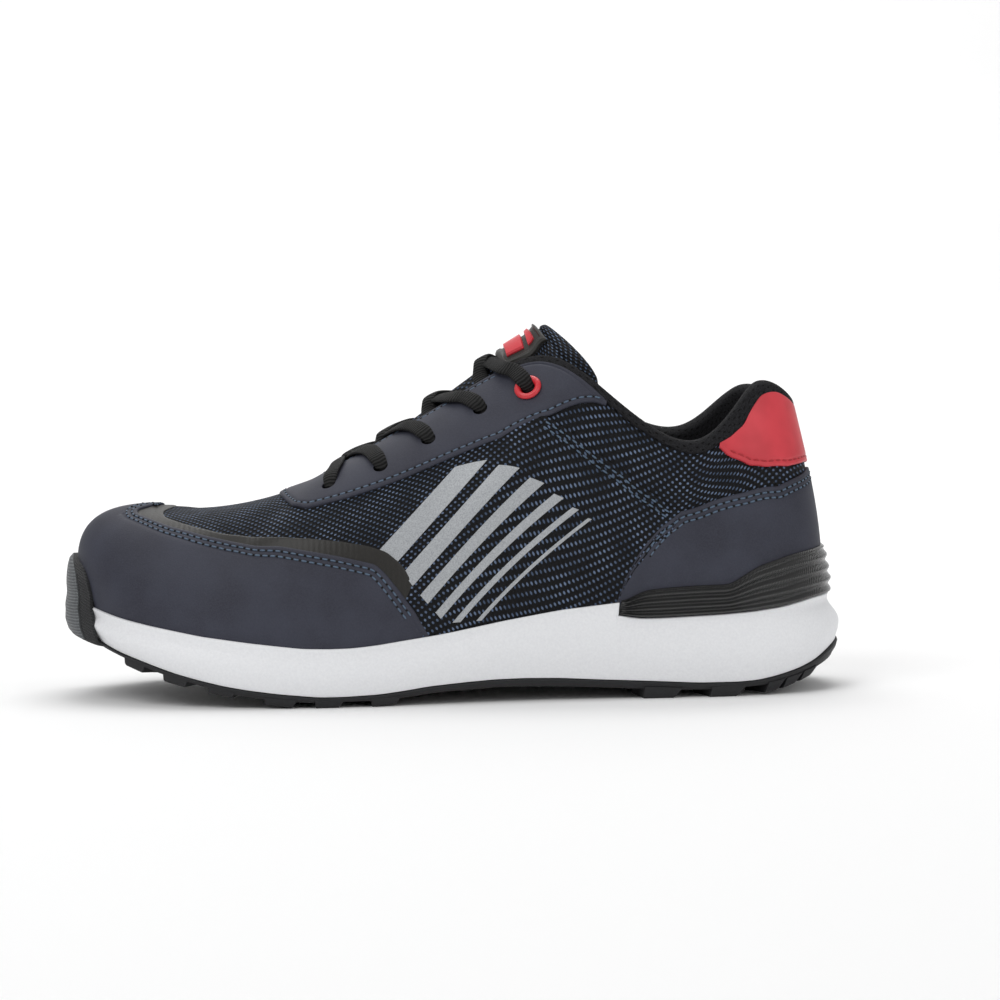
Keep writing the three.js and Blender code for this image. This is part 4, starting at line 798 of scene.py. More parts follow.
def build_upper():
    """Hollow shell: the outer sheet with its creases, the rounded rim and the lining's sheet."""
    station = upper_columns()
    shares = np.linspace(0, 1, 61)
    angles = np.radians([25, 50, 70, 90])
    s, t = np.meshgrid(station, shares)
    front = np.concatenate([skin(s, t, 0.0), np.stack([rim_point(station, a, 0.0) for a in angles])])
    back = skin(s, t, -wall_at(s, t))
    back = np.concatenate([back, np.stack([rim_point(station, math.pi - a, 0.0) for a in angles])])
    keep = np.ones((front.shape[0] - 1, len(station)), bool)
    for place, share in EYELETS:
        for at in (place, STATIONS - place):
            punch(front, back, keep, at, share, MESH_HOLE)
    ridge = ridge_share(station) > 0.999
    points, faces, tones = slab(front, back, keep, wrap=True, open_top=ridge)
    full = np.concatenate([t, np.ones((len(angles), len(station)))])
    uv = weave_uv(np.broadcast_to(station, full.shape), full).reshape(-1, 2)
    uv = np.concatenate([uv, uv])
    make_piece("upper_shell", points, faces, uv, [MESH, LINING, LINING], ["upper"], tones)


# A panel's depth beside its edge: mm from the edge, percent of its thickness
EDGE_GAPS = np.array([0, 0.2, 0.45, 0.8, 1.5, 1.9, 2.2, 2.6, 3.2, 3.9, 4.3, 4.7, 5.4])  # rows beside an edge
DOUBLE_ROW = [
    [0, 55], [0.25, 85], [0.6, 100], [1.5, 100], [2.1, 72], [2.8, 100], [3.5, 100], [4.2, 74], [5.2, 100],
]
SINGLE_ROW = [[0, 55], [0.25, 85], [0.6, 100], [1.4, 100], [2.0, 72], [2.8, 100]]
PLAIN_EDGE = [[0, 55], [0.25, 85], [0.6, 100]]


def panel_grid(columns, low, high, count):
    """Rows of shares between two lines, close together beside both edges, and each row's way in from them.

    Where an edge runs slanting across the columns, the way along a column is the way in over its sine.
    """
    foot, head = surface(columns, low), surface(columns, high)
    height = np.maximum(np.linalg.norm(head - foot, axis=-1), 0.05)
    upward = unit(head - foot)
    from_foot, from_head = (
        1 / np.maximum(np.linalg.norm(np.cross(unit(np.gradient(edge, axis=0)), upward), axis=-1), 0.33)
        for edge in (foot, head))
    near = np.minimum(EDGE_GAPS[-1] * from_foot, height * 0.42)
    far = np.minimum(EDGE_GAPS[-1] * from_head, height * 0.42)
    gaps = EDGE_GAPS[:, None] / EDGE_GAPS[-1]
    middle = np.linspace(0, 1, count + 2)[1:-1, None]
    rows = np.concatenate([gaps * near, mix(near, height - far, middle), height - gaps[::-1] * far])
    return mix(low, high, rows / height), rows / from_foot, (height - rows) / from_head


def run_uv(grid, around):
    """Cloth coordinates of a grid: the given way round, and the arc length from its first row."""
    lengths = np.linalg.norm(np.diff(grid, axis=0), axis=-1)
    run = np.concatenate([np.zeros((1, grid.shape[1])), np.cumsum(lengths, 0)])
    return np.stack([np.broadcast_to(around, run.shape), run], -1).reshape(-1, 2)


def build_panel(name, columns, low, high, material, replaced=(), thickness=OVERLAY, base=-0.05,
                low_edge=PLAIN_EDGE, high_edge=PLAIN_EDGE, ends=None, count=22, holes=(), ridge=False,
                taper=None):
    """Sewn-on panel between two lines: a slab whose top falls to its cut edges and dips at the stitching.

    ends are the distances in mm of each column from the panel's end edges, and taper a factor a column.
    """
    shares, from_low, from_high = panel_grid(columns, low, high, count)
    s = np.broadcast_to(columns, shares.shape)
    depth = np.minimum(line_at(low_edge, from_low), line_at(high_edge, from_high)) / 100
    if ends is not None:
        depth = np.minimum(depth, line_at(PLAIN_EDGE, np.broadcast_to(ends, shares.shape)) / 100)
    if taper is not None:
        depth = depth * taper
    front = skin(s, shares, thickness * depth)
    back = skin(s, shares, base)
    keep = np.ones((front.shape[0] - 1, front.shape[1] - 1), bool)
    for station, share in holes:
        punch(front, back, keep, station, share, EYELET_HOLE)
    top = None
    if ridge:
        top = (ridge_share(columns) > 0.999)[:-1] & (high[:-1] > 0.9999) & (high[1:] > 0.9999)
    points, faces, _ = slab(front, back, keep, open_top=top)
    uv = weave_uv(s, shares).reshape(-1, 2)
    return make_piece(name, points, faces, np.concatenate([uv, uv]), [material], replaced)


def spaced(start, end, step, dense=()):
    """Columns from start to end, with closer ones in the dense spans."""
    columns = [np.linspace(start, end, max(2, int(round((end - start) / step)) + 1))]
    columns += [np.arange(a, b, c) for a, b, c in dense]
    return np.unique(np.round(np.concatenate(columns), 4))


def under_stabilizer(station):
    """True where the stabilizer clips over the midsole's edge."""
    return from_heel(station) < CLIP_END + 0.02


def cup_top(station):
    """Height of the midsole's top edge."""
    along = row_at(station)[..., 0]
    low = stack_line(STABILIZER_LOW, along) - 0.35
    return np.where(under_stabilizer(station), low, stack_line(CUP_EDGE, along))


def panel_foot(station):
    """Share at which panels end, a little inside the midsole's cup."""
    return np.maximum(share_at_height(station, cup_top(station) - 1.5), 0.0)


def on_curve(points, station, reach=0.06):
    """Share of a line on the upper, the same on both sides."""
    return soft_line(points, from_heel(station), reach) / 100


def build_toe_cap():
    """Microfibre toe cap from the midsole's edge up to its stitched top line."""
    columns = spaced(7.12, 20.88, 0.055, [(12.8, 15.2, 0.03)])
    low = panel_foot(columns)
    high = np.maximum(on_curve(CAP_TOP, columns), low + 0.002)
    build_panel("toe_cap_panel", columns, low, high, MICROFIBRE, ["toe_cap"],
                high_edge=DOUBLE_ROW, count=26)


def build_film():
    """Film strip that starts under the toe cap and shows behind its edge."""
    columns = spaced(6.82, 21.18, 0.055, [(12.8, 15.2, 0.03)])
    cap = on_curve(CAP_TOP, columns) - 0.03
    low = np.where(from_heel(columns) < 7.3, panel_foot(columns), np.maximum(panel_foot(columns), cap))
    high = np.maximum(on_curve(FILM_TOP, columns), low + 0.002)
    build_panel("vamp_film_strip", columns, low, high, FILM, ["vamp_film"], thickness=0.4, count=6)


def build_counter():
    """Microfibre counter low round the heel."""
    columns = spaced(-4.42, 4.42, 0.05, [(-4.42, -3.8, 0.015), (3.8, 4.42, 0.015)])
    low = panel_foot(columns)
    high = np.maximum(on_curve(COUNTER_TOP, columns, 0.03), low + 0.002)
    ends = (4.42 - np.abs(columns)) * 22.0
    build_panel("heel_counter_panel", columns, low, high, MICROFIBRE, ["heel_counter"],
                high_edge=DOUBLE_ROW, ends=ends, count=24)


def build_patch():
    """Red coated patch over the heel, up to the collar's band."""
    columns = spaced(-3.34, 3.34, 0.04)
    low = on_curve(PATCH_LOW, columns)
    high = np.maximum(on_curve(BAND_LOW, columns) + 0.01, low + 0.002)
    build_panel("heel_patch_panel", columns, low, high, RED_COAT, ["heel_patch"],
                thickness=OVERLAY + 0.1, low_edge=SINGLE_ROW, count=18)


def build_eyestay():
    """Microfibre eyestay: a leg each side of the throat, joined over the ridge at its front end."""
    for side, sign in (("outer", 1), ("inner", -1)):
        start, end = (6.02, 11.44) if sign > 0 else (STATIONS - 11.44, STATIONS - 6.02)
        columns = spaced(start, end, 0.03)
        low = on_curve(EYESTAY_LOW, columns, 0.04)
        band = on_curve(BAND_LOW, columns) + 0.01
        high = np.where(from_heel(columns) < 7.9, band, mix(0.995, 1.0, ridge_share(columns)))
        high = np.where(ridge_share(columns) > 0.999, 1.0, high)
        high = np.maximum(high, low + 0.002)
        holes = [(s if sign > 0 else STATIONS - s, t) for s, t in EYELETS]
        build_panel(f"eyestay_{side}", columns, low, high, MICROFIBRE,
                    ["eyestay"] if sign > 0 else [], low_edge=SINGLE_ROW, high_edge=SINGLE_ROW, count=24,
                    holes=holes, ridge=True)


def fold_share(station):
    """1 where the quarter's fold is full, 0 past its front end."""
    return 1 - fade(from_heel(station), 7.1, 8.2)


def build_quarter():
    """Front quarter: its folded edge lies over the collar's mesh along the slanting seam."""
    for side, sign in (("outer", 1), ("inner", -1)):
        start, end = (3.95, 8.3) if sign > 0 else (STATIONS - 8.3, STATIONS - 3.95)
        columns = spaced(start, end, 0.05)
        low = np.full_like(columns, 0.06)
        high = on_curve(QUARTER_SEAM, columns)
        build_panel(f"quarter_fold_{side}", columns, low, high, MESH, thickness=FOLD_HEIGHT,
                    high_edge=DOUBLE_ROW, count=40, taper=fold_share(columns), base=-0.3)


def build_collar():
    """Spacer-knit band: over the rim from its outer line, and down the inside."""
    columns = spaced(-8.0, 8.0, 0.05)
    low = on_curve(BAND_LOW, columns)
    ends = (8.0 - np.abs(columns)) * 20.0
    shrink = line_at([[0, 15], [1.5, 70], [4, 100]], ends) / 100

    def sheet(reach):
        outer = [skin(columns, mix(low, 1.0, k), reach) for k in np.linspace(0, 1, 8)]
        rim = [rim_point(columns, a, reach) for a in np.radians(np.linspace(12, 168, 12))]
        inner_share = [mix(1.0, 0.55, k) for k in np.linspace(0, 1, 12)]
        inner = [skin(columns, t, -wall_at(columns, np.full_like(columns, t)) - reach) for t in inner_share]
        return np.stack(outer + rim + inner)

    puff = 1.25 * shrink
    front = sheet(puff)
    back = sheet(0 * puff - 0.1)
    front[0] = skin(columns, low, 0.55 * puff)
    points, faces, _ = slab(front, back)
    uv = run_uv(front, columns * 17.0)
    make_piece("collar_binding", points, faces, np.concatenate([uv, uv]), [LINING], ["collar_band"])


# Side graphic: slanting bars, wide to narrow towards the heel; station at the foot and at the top of
# both edges of each bar
SIDE_BARS = [
    [9.05, 8.60, 8.15, 7.62],
    [8.36, 8.02, 7.36, 6.98],
    [7.78, 7.54, 6.74, 6.48],
    [7.30, 7.13, 6.25, 6.07],
    [6.89, 6.77, 5.86, 5.74],
    [6.53, 6.45, 5.52, 5.45],
]


def build_bars():
    """Reflective bars as thin transfers on the quarter, cut off in front where the film strip lies."""
    for side, sign in (("outer", 1), ("inner", -1)):
        for index, (front_foot, back_foot, front_top, back_top) in enumerate(SIDE_BARS):
            across = np.linspace(0, 1, 13)
            up = np.linspace(0, 1, 60)[:, None]
            station = mix(mix(front_foot, back_foot, across), mix(front_top, back_top, across), up)
            top = mix(0.60, 0.52, index / 5)
            share = mix(0.13, top, up) + 0 * station
            film_line = on_curve(FILM_TOP, station)
            share = np.maximum(share, np.minimum(film_line * (station < 10) - 0.01, top))
            at = station if sign > 0 else STATIONS - station
            fold = FOLD_HEIGHT * fold_share(station)
            front = skin(at, share, fold + 0.12)
            back = skin(at, share, fold - 0.1)
            points, faces, _ = slab(front, back)
            uv = weave_uv(at, share).reshape(-1, 2)
            make_piece(f"side_bar_{side}_{index + 1}", points, faces, np.concatenate([uv, uv]),
                       [REFLECTIVE])


def arc_places(points, pitch, length, phase):
    """Both ends of each stitch, a pitch apart on a path, and the places of their middles."""
    run = np.concatenate([[0], np.cumsum(np.linalg.norm(np.diff(points, axis=0), axis=1))])
    count = max(1, int(run[-1] // pitch))
    middle = (np.arange(count) + phase) * run[-1] / count
    ends = [np.stack([np.interp(middle + k * length / 2, run, points[:, a]) for a in range(3)], 1)
            for k in (-1, 1)]
    return ends, middle / run[-1]


def capsule():
    """Unit stitch: a bowed capsule, x along, y across, z up, closed at both ends."""
    sides = 6
    along = np.linspace(-1, 1, 7)
    radius = np.sqrt(np.maximum(1 - np.abs(along) ** 3, 0.0))
    turn = np.arange(sides) * 2 * math.pi / sides
    ring = np.stack([np.repeat(along, sides), np.outer(radius, np.cos(turn)).ravel(),
                     np.outer(radius, np.sin(turn)).ravel()], 1)
    i, j = np.meshgrid(np.arange(len(along) - 1), np.arange(sides), indexing="ij")
    right = (j + 1) % sides
    faces = np.stack([i * sides + j, i * sides + right, (i + 1) * sides + right, (i + 1) * sides + j], -1)
    return ring, faces.reshape(-1, 4)


def inset_path(stations, line, distance, height):
    """Path beside a line on the upper, a distance in mm away from it, by Newton steps on the surface."""
    share = line(stations)
    points = surface(stations, share)
    tangent = unit(np.gradient(points, axis=0))
    target = points + np.cross(surface_normal(stations, share), tangent) * distance
    moved = stations
    step = 1e-3
    for _ in range(4):
        gap = target - surface(moved, share)
        by_station = (surface(moved + step, share) - surface(moved - step, share)) / (2 * step)
        lower = np.maximum(share - step, 0)
        upper = np.minimum(share + step, 1)
        by_share = (surface(moved, upper) - surface(moved, lower)) / (upper - lower)[:, None]
        aa, bb = (by_station**2).sum(1), (by_share**2).sum(1)
        ab = (by_station * by_share).sum(1)
        ga, gb = (gap * by_station).sum(1), (gap * by_share).sum(1)
        det = np.maximum(aa * bb - ab * ab, 1e-6)
        moved = moved + np.clip((ga * bb - gb * ab) / det, -0.3, 0.3)
        share = np.clip(share + np.clip((gb * aa - ga * ab) / det, -0.1, 0.1), 0, 1)
    return skin(moved, share, height), surface_normal(moved, share)


def stitch_body(paths, pitch, length, width, phase=0.5):
    """All stitches along the paths as one array of capsules; the phase is a share of the pitch."""
    shape, faces = capsule()
    all_points, all_faces = [], []
    total = 0
    for points, normals in paths:
        (start, end), place = arc_places(points, pitch, length, phase)
        marks = np.linspace(0, 1, len(points))
        up = unit(np.stack([np.interp(place, marks, normals[:, a]) for a in range(3)], 1))
        centre = (start + end) / 2
        run = unit(end - start)
        across = unit(np.cross(up, run))
        body = (centre[:, None] + run[:, None] * shape[None, :, :1] * length / 2
                + across[:, None] * shape[None, :, 1:2] * width / 2
                + up[:, None] * shape[None, :, 2:] * width * 0.42)
        offsets = total + np.arange(len(centre))[:, None, None] * len(shape)
        all_points.append(body.reshape(-1, 3))
        all_faces.append((faces[None] + offsets).reshape(-1, 4))
        total += len(centre) * len(shape)
    return np.concatenate(all_points), np.concatenate(all_faces)


def build_stitches():
    """Lock stitches along the panels' edges: double rows on cap, counter and seam, single elsewhere."""
    def line(points, reach=0.06):
        return lambda s: on_curve(points, s, reach)

    height = OVERLAY * 0.8 + 0.12
    seam_height = FOLD_HEIGHT - 0.05
    blue, seam = [], []
    cap = np.linspace(7.5, 20.5, 700)
    counter = np.linspace(-4.36, 4.36, 420)
    for distance in STITCH_ROWS:
        blue.append(inset_path(cap, line(CAP_TOP), distance, height))
        blue.append(inset_path(counter, line(COUNTER_TOP, 0.03), distance, height))
    for mirror in (False, True):
        def both(start, end, count=260):
            values = np.linspace(start, end, count)
            return STATIONS - values[::-1] if mirror else values
        low = both(6.15, 11.35)
        blue.append(inset_path(low, line(EYESTAY_LOW, 0.04), -2.0, height))
        high = both(8.2, 10.85)
        blue.append(inset_path(high, lambda s: np.full_like(s, 0.99), 2.2, height))
        fold = both(4.15, 6.95)
        for distance in STITCH_ROWS:
            seam.append(inset_path(fold, line(QUARTER_SEAM), distance, seam_height))
    points, faces = stitch_body(blue, 3.0, 2.3, 0.7)
    make_piece("panel_stitches", points, faces, plan_uv(points), [THREAD])
    points, faces = stitch_body(seam, 3.0, 2.4, 0.7)
    make_piece("seam_stitches", points, faces, plan_uv(points), [THREAD])
    # Painted shade: small near-black capsules between the stitches stand for the shade inside each needle
    # hole
    points, faces = stitch_body(blue + seam, 3.0, 0.9, 0.95, 1.0)
    make_piece("needle_hole_shade", points, faces, plan_uv(points), [HOLE])
    patch = np.linspace(-3.1, 3.1, 300)
    points, faces = stitch_body([inset_path(patch, line(PATCH_LOW), -2.0, height)], 3.2, 2.6, 0.8)
    make_piece("patch_stitches", points, faces, plan_uv(points), [RED_THREAD])


# Sole

SOLE_COLUMNS = np.unique(np.round(np.concatenate([
    np.arange(0, STATIONS, 0.05), [CLIP_END + 0.008, CLIP_END + 0.032, STATIONS - CLIP_END - 0.008,
                                   STATIONS - CLIP_END - 0.032]]), 4))
SPINE_SHARE = 0.86
LIP_SHOULDER = 3.5
BULGE_SHARE = 0.42
GUARD_HALF = 1.44


def side_at(station, column):
    """Plan offset of the midsole's side from the feather edge: 1 at the bulge, 2 at the bottom edge."""
    if column == 1:
        return BALL_WIDTH * soft_line(MIDSOLE_SIDE, from_heel(station), 0.4) / 100
    return BALL_WIDTH * line_at(MIDSOLE_SIDE, from_heel(station), 2) / 100


def spine_at(station):
    """Point on the line down the middle of the sole, drawn in a little at heel and toe."""
    both = (row_at(station)[..., :3] + row_at(STATIONS - station)[..., :3]) / 2
    middle = SHOE_LENGTH / 2
    along = middle + (both[..., 0] - middle) * SPINE_SHARE
    return np.stack([MIDDLE_ALONG - along, both[..., 1] - MIDDLE_SIDE, both[..., 2]], -1)


def bottom_edge(station):
    """Lower edge of the midsole's side."""
    point = beside_feather(station, side_at(station, 2), 0)
    return with_height(point, stack_line(MIDSOLE_BOTTOM, along_of(point)))


def bottom_across(station, share, drop=0.0):
    """Midsole's underside from its edge to the spine."""
    point = mix(bottom_edge(station), spine_at(station), share)
    return with_height(point, stack_line(MIDSOLE_BOTTOM, along_of(point)) - drop)


def bulge_point(station):
    """The midsole's widest line."""
    low = bottom_edge(station)[..., 2]
    return beside_feather(station, side_at(station, 1), mix(low, cup_top(station), BULGE_SHARE))


def lip_point(station, drop):
    """The midsole's side just under its top edge."""
    share = share_at_height(station, cup_top(station) - drop)
    return level_offset(station, share, 0.35 + np.where(under_stabilizer(station), 3.6, 2.2))


def bent(a, b, c, d, t):
    """Point at share t of a Catmull-Rom curve through b and c."""
    return 0.5 * (2 * b + (c - a) * t + (2 * a - 5 * b + 4 * c - d) * t * t + (3 * b - a - 3 * c + d) * t**3)


def build_midsole():
    """Foam cup: underside, bulging side, rounded lip and the cup inside."""
    s = SOLE_COLUMNS
    foot, bulge = bottom_edge(s), bulge_point(s)
    shoulder, lip = lip_point(s, LIP_SHOULDER), lip_point(s, 0.0)
    wall_top = share_at_height(s, cup_top(s))
    cup = surface(s, wall_top) + surface_normal(s, wall_top) * 0.3
    before = foot + (foot - bulge) * 0.6
    after = lip + (lip - shoulder)
    steps = np.linspace(0, 1, 9)
    side = [bent(before, foot, bulge, shoulder, t) for t in steps]
    side += [bent(foot, bulge, shoulder, lip, t) for t in steps[1:]]
    side += [bent(bulge, shoulder, lip, after, t) for t in (0.3, 0.6, 0.82)]
    drop = np.array([0, 0, -0.45])
    rounded = [mix(lip, cup, 0.06) + drop * 0.5, mix(lip, cup, 0.2), mix(lip, cup, 0.8), cup + drop]
    low = wall_top * 0.5
    inside = [surface(s, t) + surface_normal(s, t) * 0.35 for t in (low, 0 * s)]
    feather = row_at(s)[..., 2]
    floor = [with_height(mix(inside[-1], spine_at(s), k), feather - 0.4 - 1.2 * k) for k in (0, 0.5, 1)]
    under = [bottom_across(s, k) for k in (1, 0.5, 0.12)]
    points, faces = rings(under + side + rounded + inside + floor)
    make_piece("midsole_foam", points, faces, plan_uv(points), [FOAM], ["midsole"], sharp=50)


def build_insole():
    """Cloth-covered insole with a soft rolled edge."""
    s = np.arange(0, STATIONS, 0.1)
    feather = row_at(s)[..., 2]

    def across(share, height):
        at = share_at_height(s, feather + height)
        edge = level_offset(s, at, np.full_like(s, -(UPPER_WALL + 0.6)))
        point = mix(edge, spine_at(s), share)
        return with_height(point, feather + height - 1.2 * share)

    rows = [across(k, 0.0) for k in (1, 0.5, 0.0)]
    edge = ((0.0, 3.6), (0.01, 4.2), (0.04, 4.5), (0.3, 4.5), (0.65, 4.5), (1, 4.5))
    rows += [across(share, height) for share, height in edge]
    points, faces = rings(rows)
    make_piece("insole_cloth", points, faces, points[:, :2].copy(), [LINING], ["insole"])


def build_stabilizer():
    """Heel clip: a band with four soft ridges that run up to the back, thin at its top edge."""
    columns = spaced(-CLIP_END, CLIP_END, 0.04)
    along = row_at(columns)[..., 0]
    low = share_at_height(columns, stack_line(STABILIZER_LOW, along) + 0.1)
    high = share_at_height(columns, stack_line(STABILIZER_HIGH, along))
    k = np.linspace(0, 1, 61)[:, None]
    share = mix(low, high, k)
    s = np.broadcast_to(columns, share.shape)
    ridges = np.sin(2 * math.pi * (k * 4.0 + 0.12)) * 0.55
    body = mix(3.0, 1.3, fade(k, 0.15, 1.0)) + ridges * (1 - fade(k, 0.9, 1.0))
    ends = (CLIP_END - np.abs(s)) * 22
    body = body * (0.45 + 0.55 * fade(ends, 0, 2.5)) * (0.35 + 0.65 * fade(1 - k, 0, 0.05))
    front = level_offset(s, share, 1.3 + body)
    back = level_offset(s, share, np.full(share.shape, 1.2))
    points, faces, _ = slab(front, back)
    uv = run_uv(front, columns * STATION_MM)
    make_piece("heel_clip", points, faces, np.concatenate([uv, uv]), [CLIP], ["heel_stabilizer"])


def build_outsole():
    """Rubber sheet with its bevelled side, and the tread blocks under it."""
    s = SOLE_COLUMNS
    foot = bottom_edge(s)[..., 2] - 0.35
    low = stack_line(OUTSOLE_BOTTOM, along_of(bottom_edge(s)))

    beside = (side_at(s, 1) - side_at(s, 2) + 3.3) * guard_arch(s)

    def side(share, reach=0.85):
        out = side_at(s, 2) + reach + beside - 0.45 * (foot - low) * share * share
        point = beside_feather(s, out, mix(foot, low, share))
        return point if share < 1 else with_height(point, stack_line(OUTSOLE_BOTTOM, along_of(point)))

    def across(share):
        point = mix(side(1.0), spine_at(s), share)
        return with_height(point, stack_line(OUTSOLE_BOTTOM, along_of(point)))

    rows = [bottom_across(s, k, 0.35) for k in (1, 0.5, 0)]
    rows += [side(0.0, 0.6), side(0.12), side(0.5), side(0.9), side(1.0)]
    rows += [across(k) for k in (0.03, 0.5, 1)]
    points, faces = rings(rows)
    lug_points, lug_faces = lug_bodies()
    every = np.concatenate([points, lug_points])
    all_faces = np.concatenate([faces, lug_faces + len(points)])
    make_piece("outsole_rubber", every, all_faces, plan_uv(every), [RUBBER], ["outsole"])


def station_at(along, side):
    """Station at which the sole's edge lies at a distance from the heel, on one side, from a fine table."""
    stations = np.linspace(0.2, TOE - 0.2, 900)
    there = stations if side < 0 else STATIONS - stations
    lengths = along_of(beside_feather(there, side_at(there, 2) + TREAD_EDGE, 0.0))
    found = np.interp(along, lengths, stations)
    return found if side < 0 else STATIONS - found


def across_sole(along, side, share):
    """Point between the sole's edge and its middle line."""
    station = np.asarray(station_at(along, side))
    edge = beside_feather(station, side_at(station, 2) + TREAD_EDGE, 0.0)
    return mix(edge, spine_at(station), share)


def lug_body(corners):
    """Tread block under four corners: steep towards the toe, slanting to the heel, its foot chamfered."""
    a, b, c, d = corners
    u = np.linspace(0, 1, 5)
    loop = np.concatenate([mix(p, q, u[:-1, None]) for p, q in ((a, b), (b, c), (c, d), (d, a))])
    centre = loop.mean(0)
    away = unit(loop - centre)
    heelward = (loop[:, 0] - loop[:, 0].min()) / np.ptp(loop[:, 0])

    def level(grow, root, slope=1.0):
        point = loop + away * grow
        base = stack_line(OUTSOLE_BOTTOM, along_of(point)) + LUG_ROOT
        depth = base - LUG_ROOT - stack_line(TREAD, along_of(point))
        point = point - np.array([1.0, 0, 0]) * (heelward * slope * depth)[:, None]
        return with_height(point, base if root is None else stack_line(TREAD, along_of(point)) + root)

    rows = [level(0.4, None, -0.2), level(0.1, 0.7, 0.65), level(-0.45, 0.0, 0.9), level(-1.6, 0.0, 0.9)]
    rows.append(with_height(np.broadcast_to(centre, loop.shape), stack_line(TREAD, along_of(centre))))
    top = with_height(np.broadcast_to(centre, loop.shape), rows[0][:, 2].mean())
    return rings([top] + rows)


def lug_bodies():
    """Every tread block: those along both edges and those down the middle."""
    shapes = []
    for start, end in EDGE_LUGS:
        for side in (-1, 1):
            a, b = start * SHOE_LENGTH / 100, end * SHOE_LENGTH / 100
            shapes.append([across_sole(x, side, k) for x, k in ((a, 0), (b, 0), (b, 0.4), (a, 0.4))])
    for start, end in CENTRE_LUGS:
        a, b = start * SHOE_LENGTH / 100, end * SHOE_LENGTH / 100
        shapes.append([across_sole(x, side, 0.7) for x, side in ((a, -1), (b, -1), (b, 1), (a, 1))])
    all_points, all_faces, total = [], [], 0
    for corners in shapes:
        points, faces = lug_body(corners)
        all_points.append(points)
        all_faces.append(faces + total)
        total += len(points)
    return np.concatenate(all_points), np.concatenate(all_faces)


GUARD_SWELL = [[0, 4.1], [0.12, 5.2], [0.3, 5.8], [0.6, 4.9], [0.85, 3.7], [0.95, 2.9], [1, 1.6]]
GUARD_ACROSS = [[0, 100], [0.65, 100], [0.8, 90], [0.85, 66], [0.92, 44], [1, 20]]
GUARD_TOP = TOE_HEIGHT * 0.76
GUARD_LIP = 0.36  # share of the guard's height at the midsole's lip
GUARD_SIDE = 1.12


def guard_arch(station):
    """1 at the toe's centre, 0 at the guard's sides and beyond."""
    return np.sqrt(np.clip(1 - ((TOE - from_heel(station)) / GUARD_HALF) ** 2, 0, 1))


def build_guard():
    """Toe guard: the rubber climbs the toe in an arch, thickest low down.

    A raised middle stands between two hollow bevels, and the edges are thin. The half width falls from the
    foot to the lip, and then as a full round arch.
    """
    level = np.linspace(0, 1, 72)[:, None]
    bevel = np.linspace(0.8, 0.88, 7)
    u = np.unique(np.concatenate([np.linspace(-1, 1, 61), bevel, -bevel]))
    arch = GUARD_SIDE * np.sqrt(np.clip(1 - (np.abs(level - GUARD_LIP) / (1 - GUARD_LIP)) ** 2.6, 0.002, 1))
    half = np.where(level < GUARD_LIP, mix(GUARD_HALF, GUARD_SIDE, level / GUARD_LIP), arch)
    station = TOE + half * u
    foot = bottom_edge(station)[..., 2] - 0.35
    height = mix(foot, GUARD_TOP, level)
    out = outward_at(station)
    towards = np.stack([-out[..., 0], out[..., 1], np.zeros_like(station)], -1)
    lip_height = cup_top(station)
    cap = np.full_like(station, OVERLAY)
    corners = [
        beside_feather(station, side_at(station, 1), foot), bulge_point(station),
        lip_point(station, LIP_SHOULDER), lip_point(station, 0.0),
    ]
    for over in (lip_height + 0.7, mix(lip_height, GUARD_TOP, 0.5), np.full_like(station, GUARD_TOP)):
        corners.append(level_offset(station, share_at_height(station, over), cap))
    base = corners[0]
    for low, high in zip(corners[:-1], corners[1:]):
        span = np.clip((height - low[..., 2]) / (high[..., 2] - low[..., 2]), 0, 1)[..., None]
        base = np.where((height > low[..., 2])[..., None], mix(low, high, span), base)
    for _ in range(40):
        base[1:-1] = (base[:-2] + 2 * base[1:-1] + base[2:]) / 4
    base = with_height(base, height)
    thick = line_at(GUARD_SWELL, level) * line_at(GUARD_ACROSS, np.abs(u)) / 100
    front = base + towards * (0.35 + thick)[..., None]
    back = base + towards * 0.1
    points, faces, _ = slab(front, back)
    uv = np.stack([np.broadcast_to(u * 10.0, height.shape), height], -1).reshape(-1, 2)
    make_piece("toe_guard", points, faces, np.concatenate([uv, uv]), [GUARD])


# Tongue

TONGUE_STATIONS = [11.3, 10.9, 10.4, 9.8, 9.2, 8.6, 8.05, 7.6]
TONGUE_CROWN = [-3.7, -3.6, -2.6, 0.4, 2.6, 4.4, 6.4, 8.8]
TONGUE_WING = 0.75
TONGUE_RISE = 15
TONGUE_TOP = [
    [[53, 0, 83], [23, 85, 30], [-10, 132, -40], [-30, 155, -100]],
    [[23, 0, 100], [-43, 107, 37], [-87, 155, -27], [-100, 162, -80]],
]


def tongue_table():
    """Rows of the tongue's face: held ones between the throat's sides, then the free top."""
    def under(station, share):
        return surface(station, share) - surface_normal(station, share) * (UPPER_WALL + 1.05)

    rows = []
    for station, crown in zip(TONGUE_STATIONS, TONGUE_CROWN):
        other = STATIONS - station
        middle = (surface(station, 1.0) + surface(other, 1.0)) / 2 + np.array([0, 0, crown])
        shoulder = mix(1, 0.94, ridge_share(station))
        shares = [TONGUE_WING, (TONGUE_WING + shoulder) / 2, shoulder]
        rows.append([under(station, t) for t in shares] + [middle] + [under(other, t) for t in shares[::-1]])
    corner = (surface(7.0, 1.0) + surface(STATIONS - 7.0, 1.0)) / 2
    for row in TONGUE_TOP:
        places = [np.array([-p[0], p[1] * sign, p[2]]) * TONGUE_RISE / 100 + corner
                  for sign in (-1, 1) for p in row]
        rows.append(places[3:0:-1] + [places[0]] + places[5:8])
    return np.array([[np.ravel(point) for point in row] for row in rows])


TONGUE = tongue_table()


def bend_along(table, x):
    """Catmull-Rom through a table's first axis at places x."""
    last = len(table) - 1
    ends = np.concatenate([[2 * table[0] - table[1]], table, [2 * table[-1] - table[-2]]])
    x = np.asarray(x, float)
    i = np.clip(np.floor(x).astype(int), 0, last - 1)
    f = (x - i).reshape(x.shape + (1,) * (table.ndim - 1))
    return bent(ends[i], ends[i + 1], ends[i + 2], ends[i + 3], f)


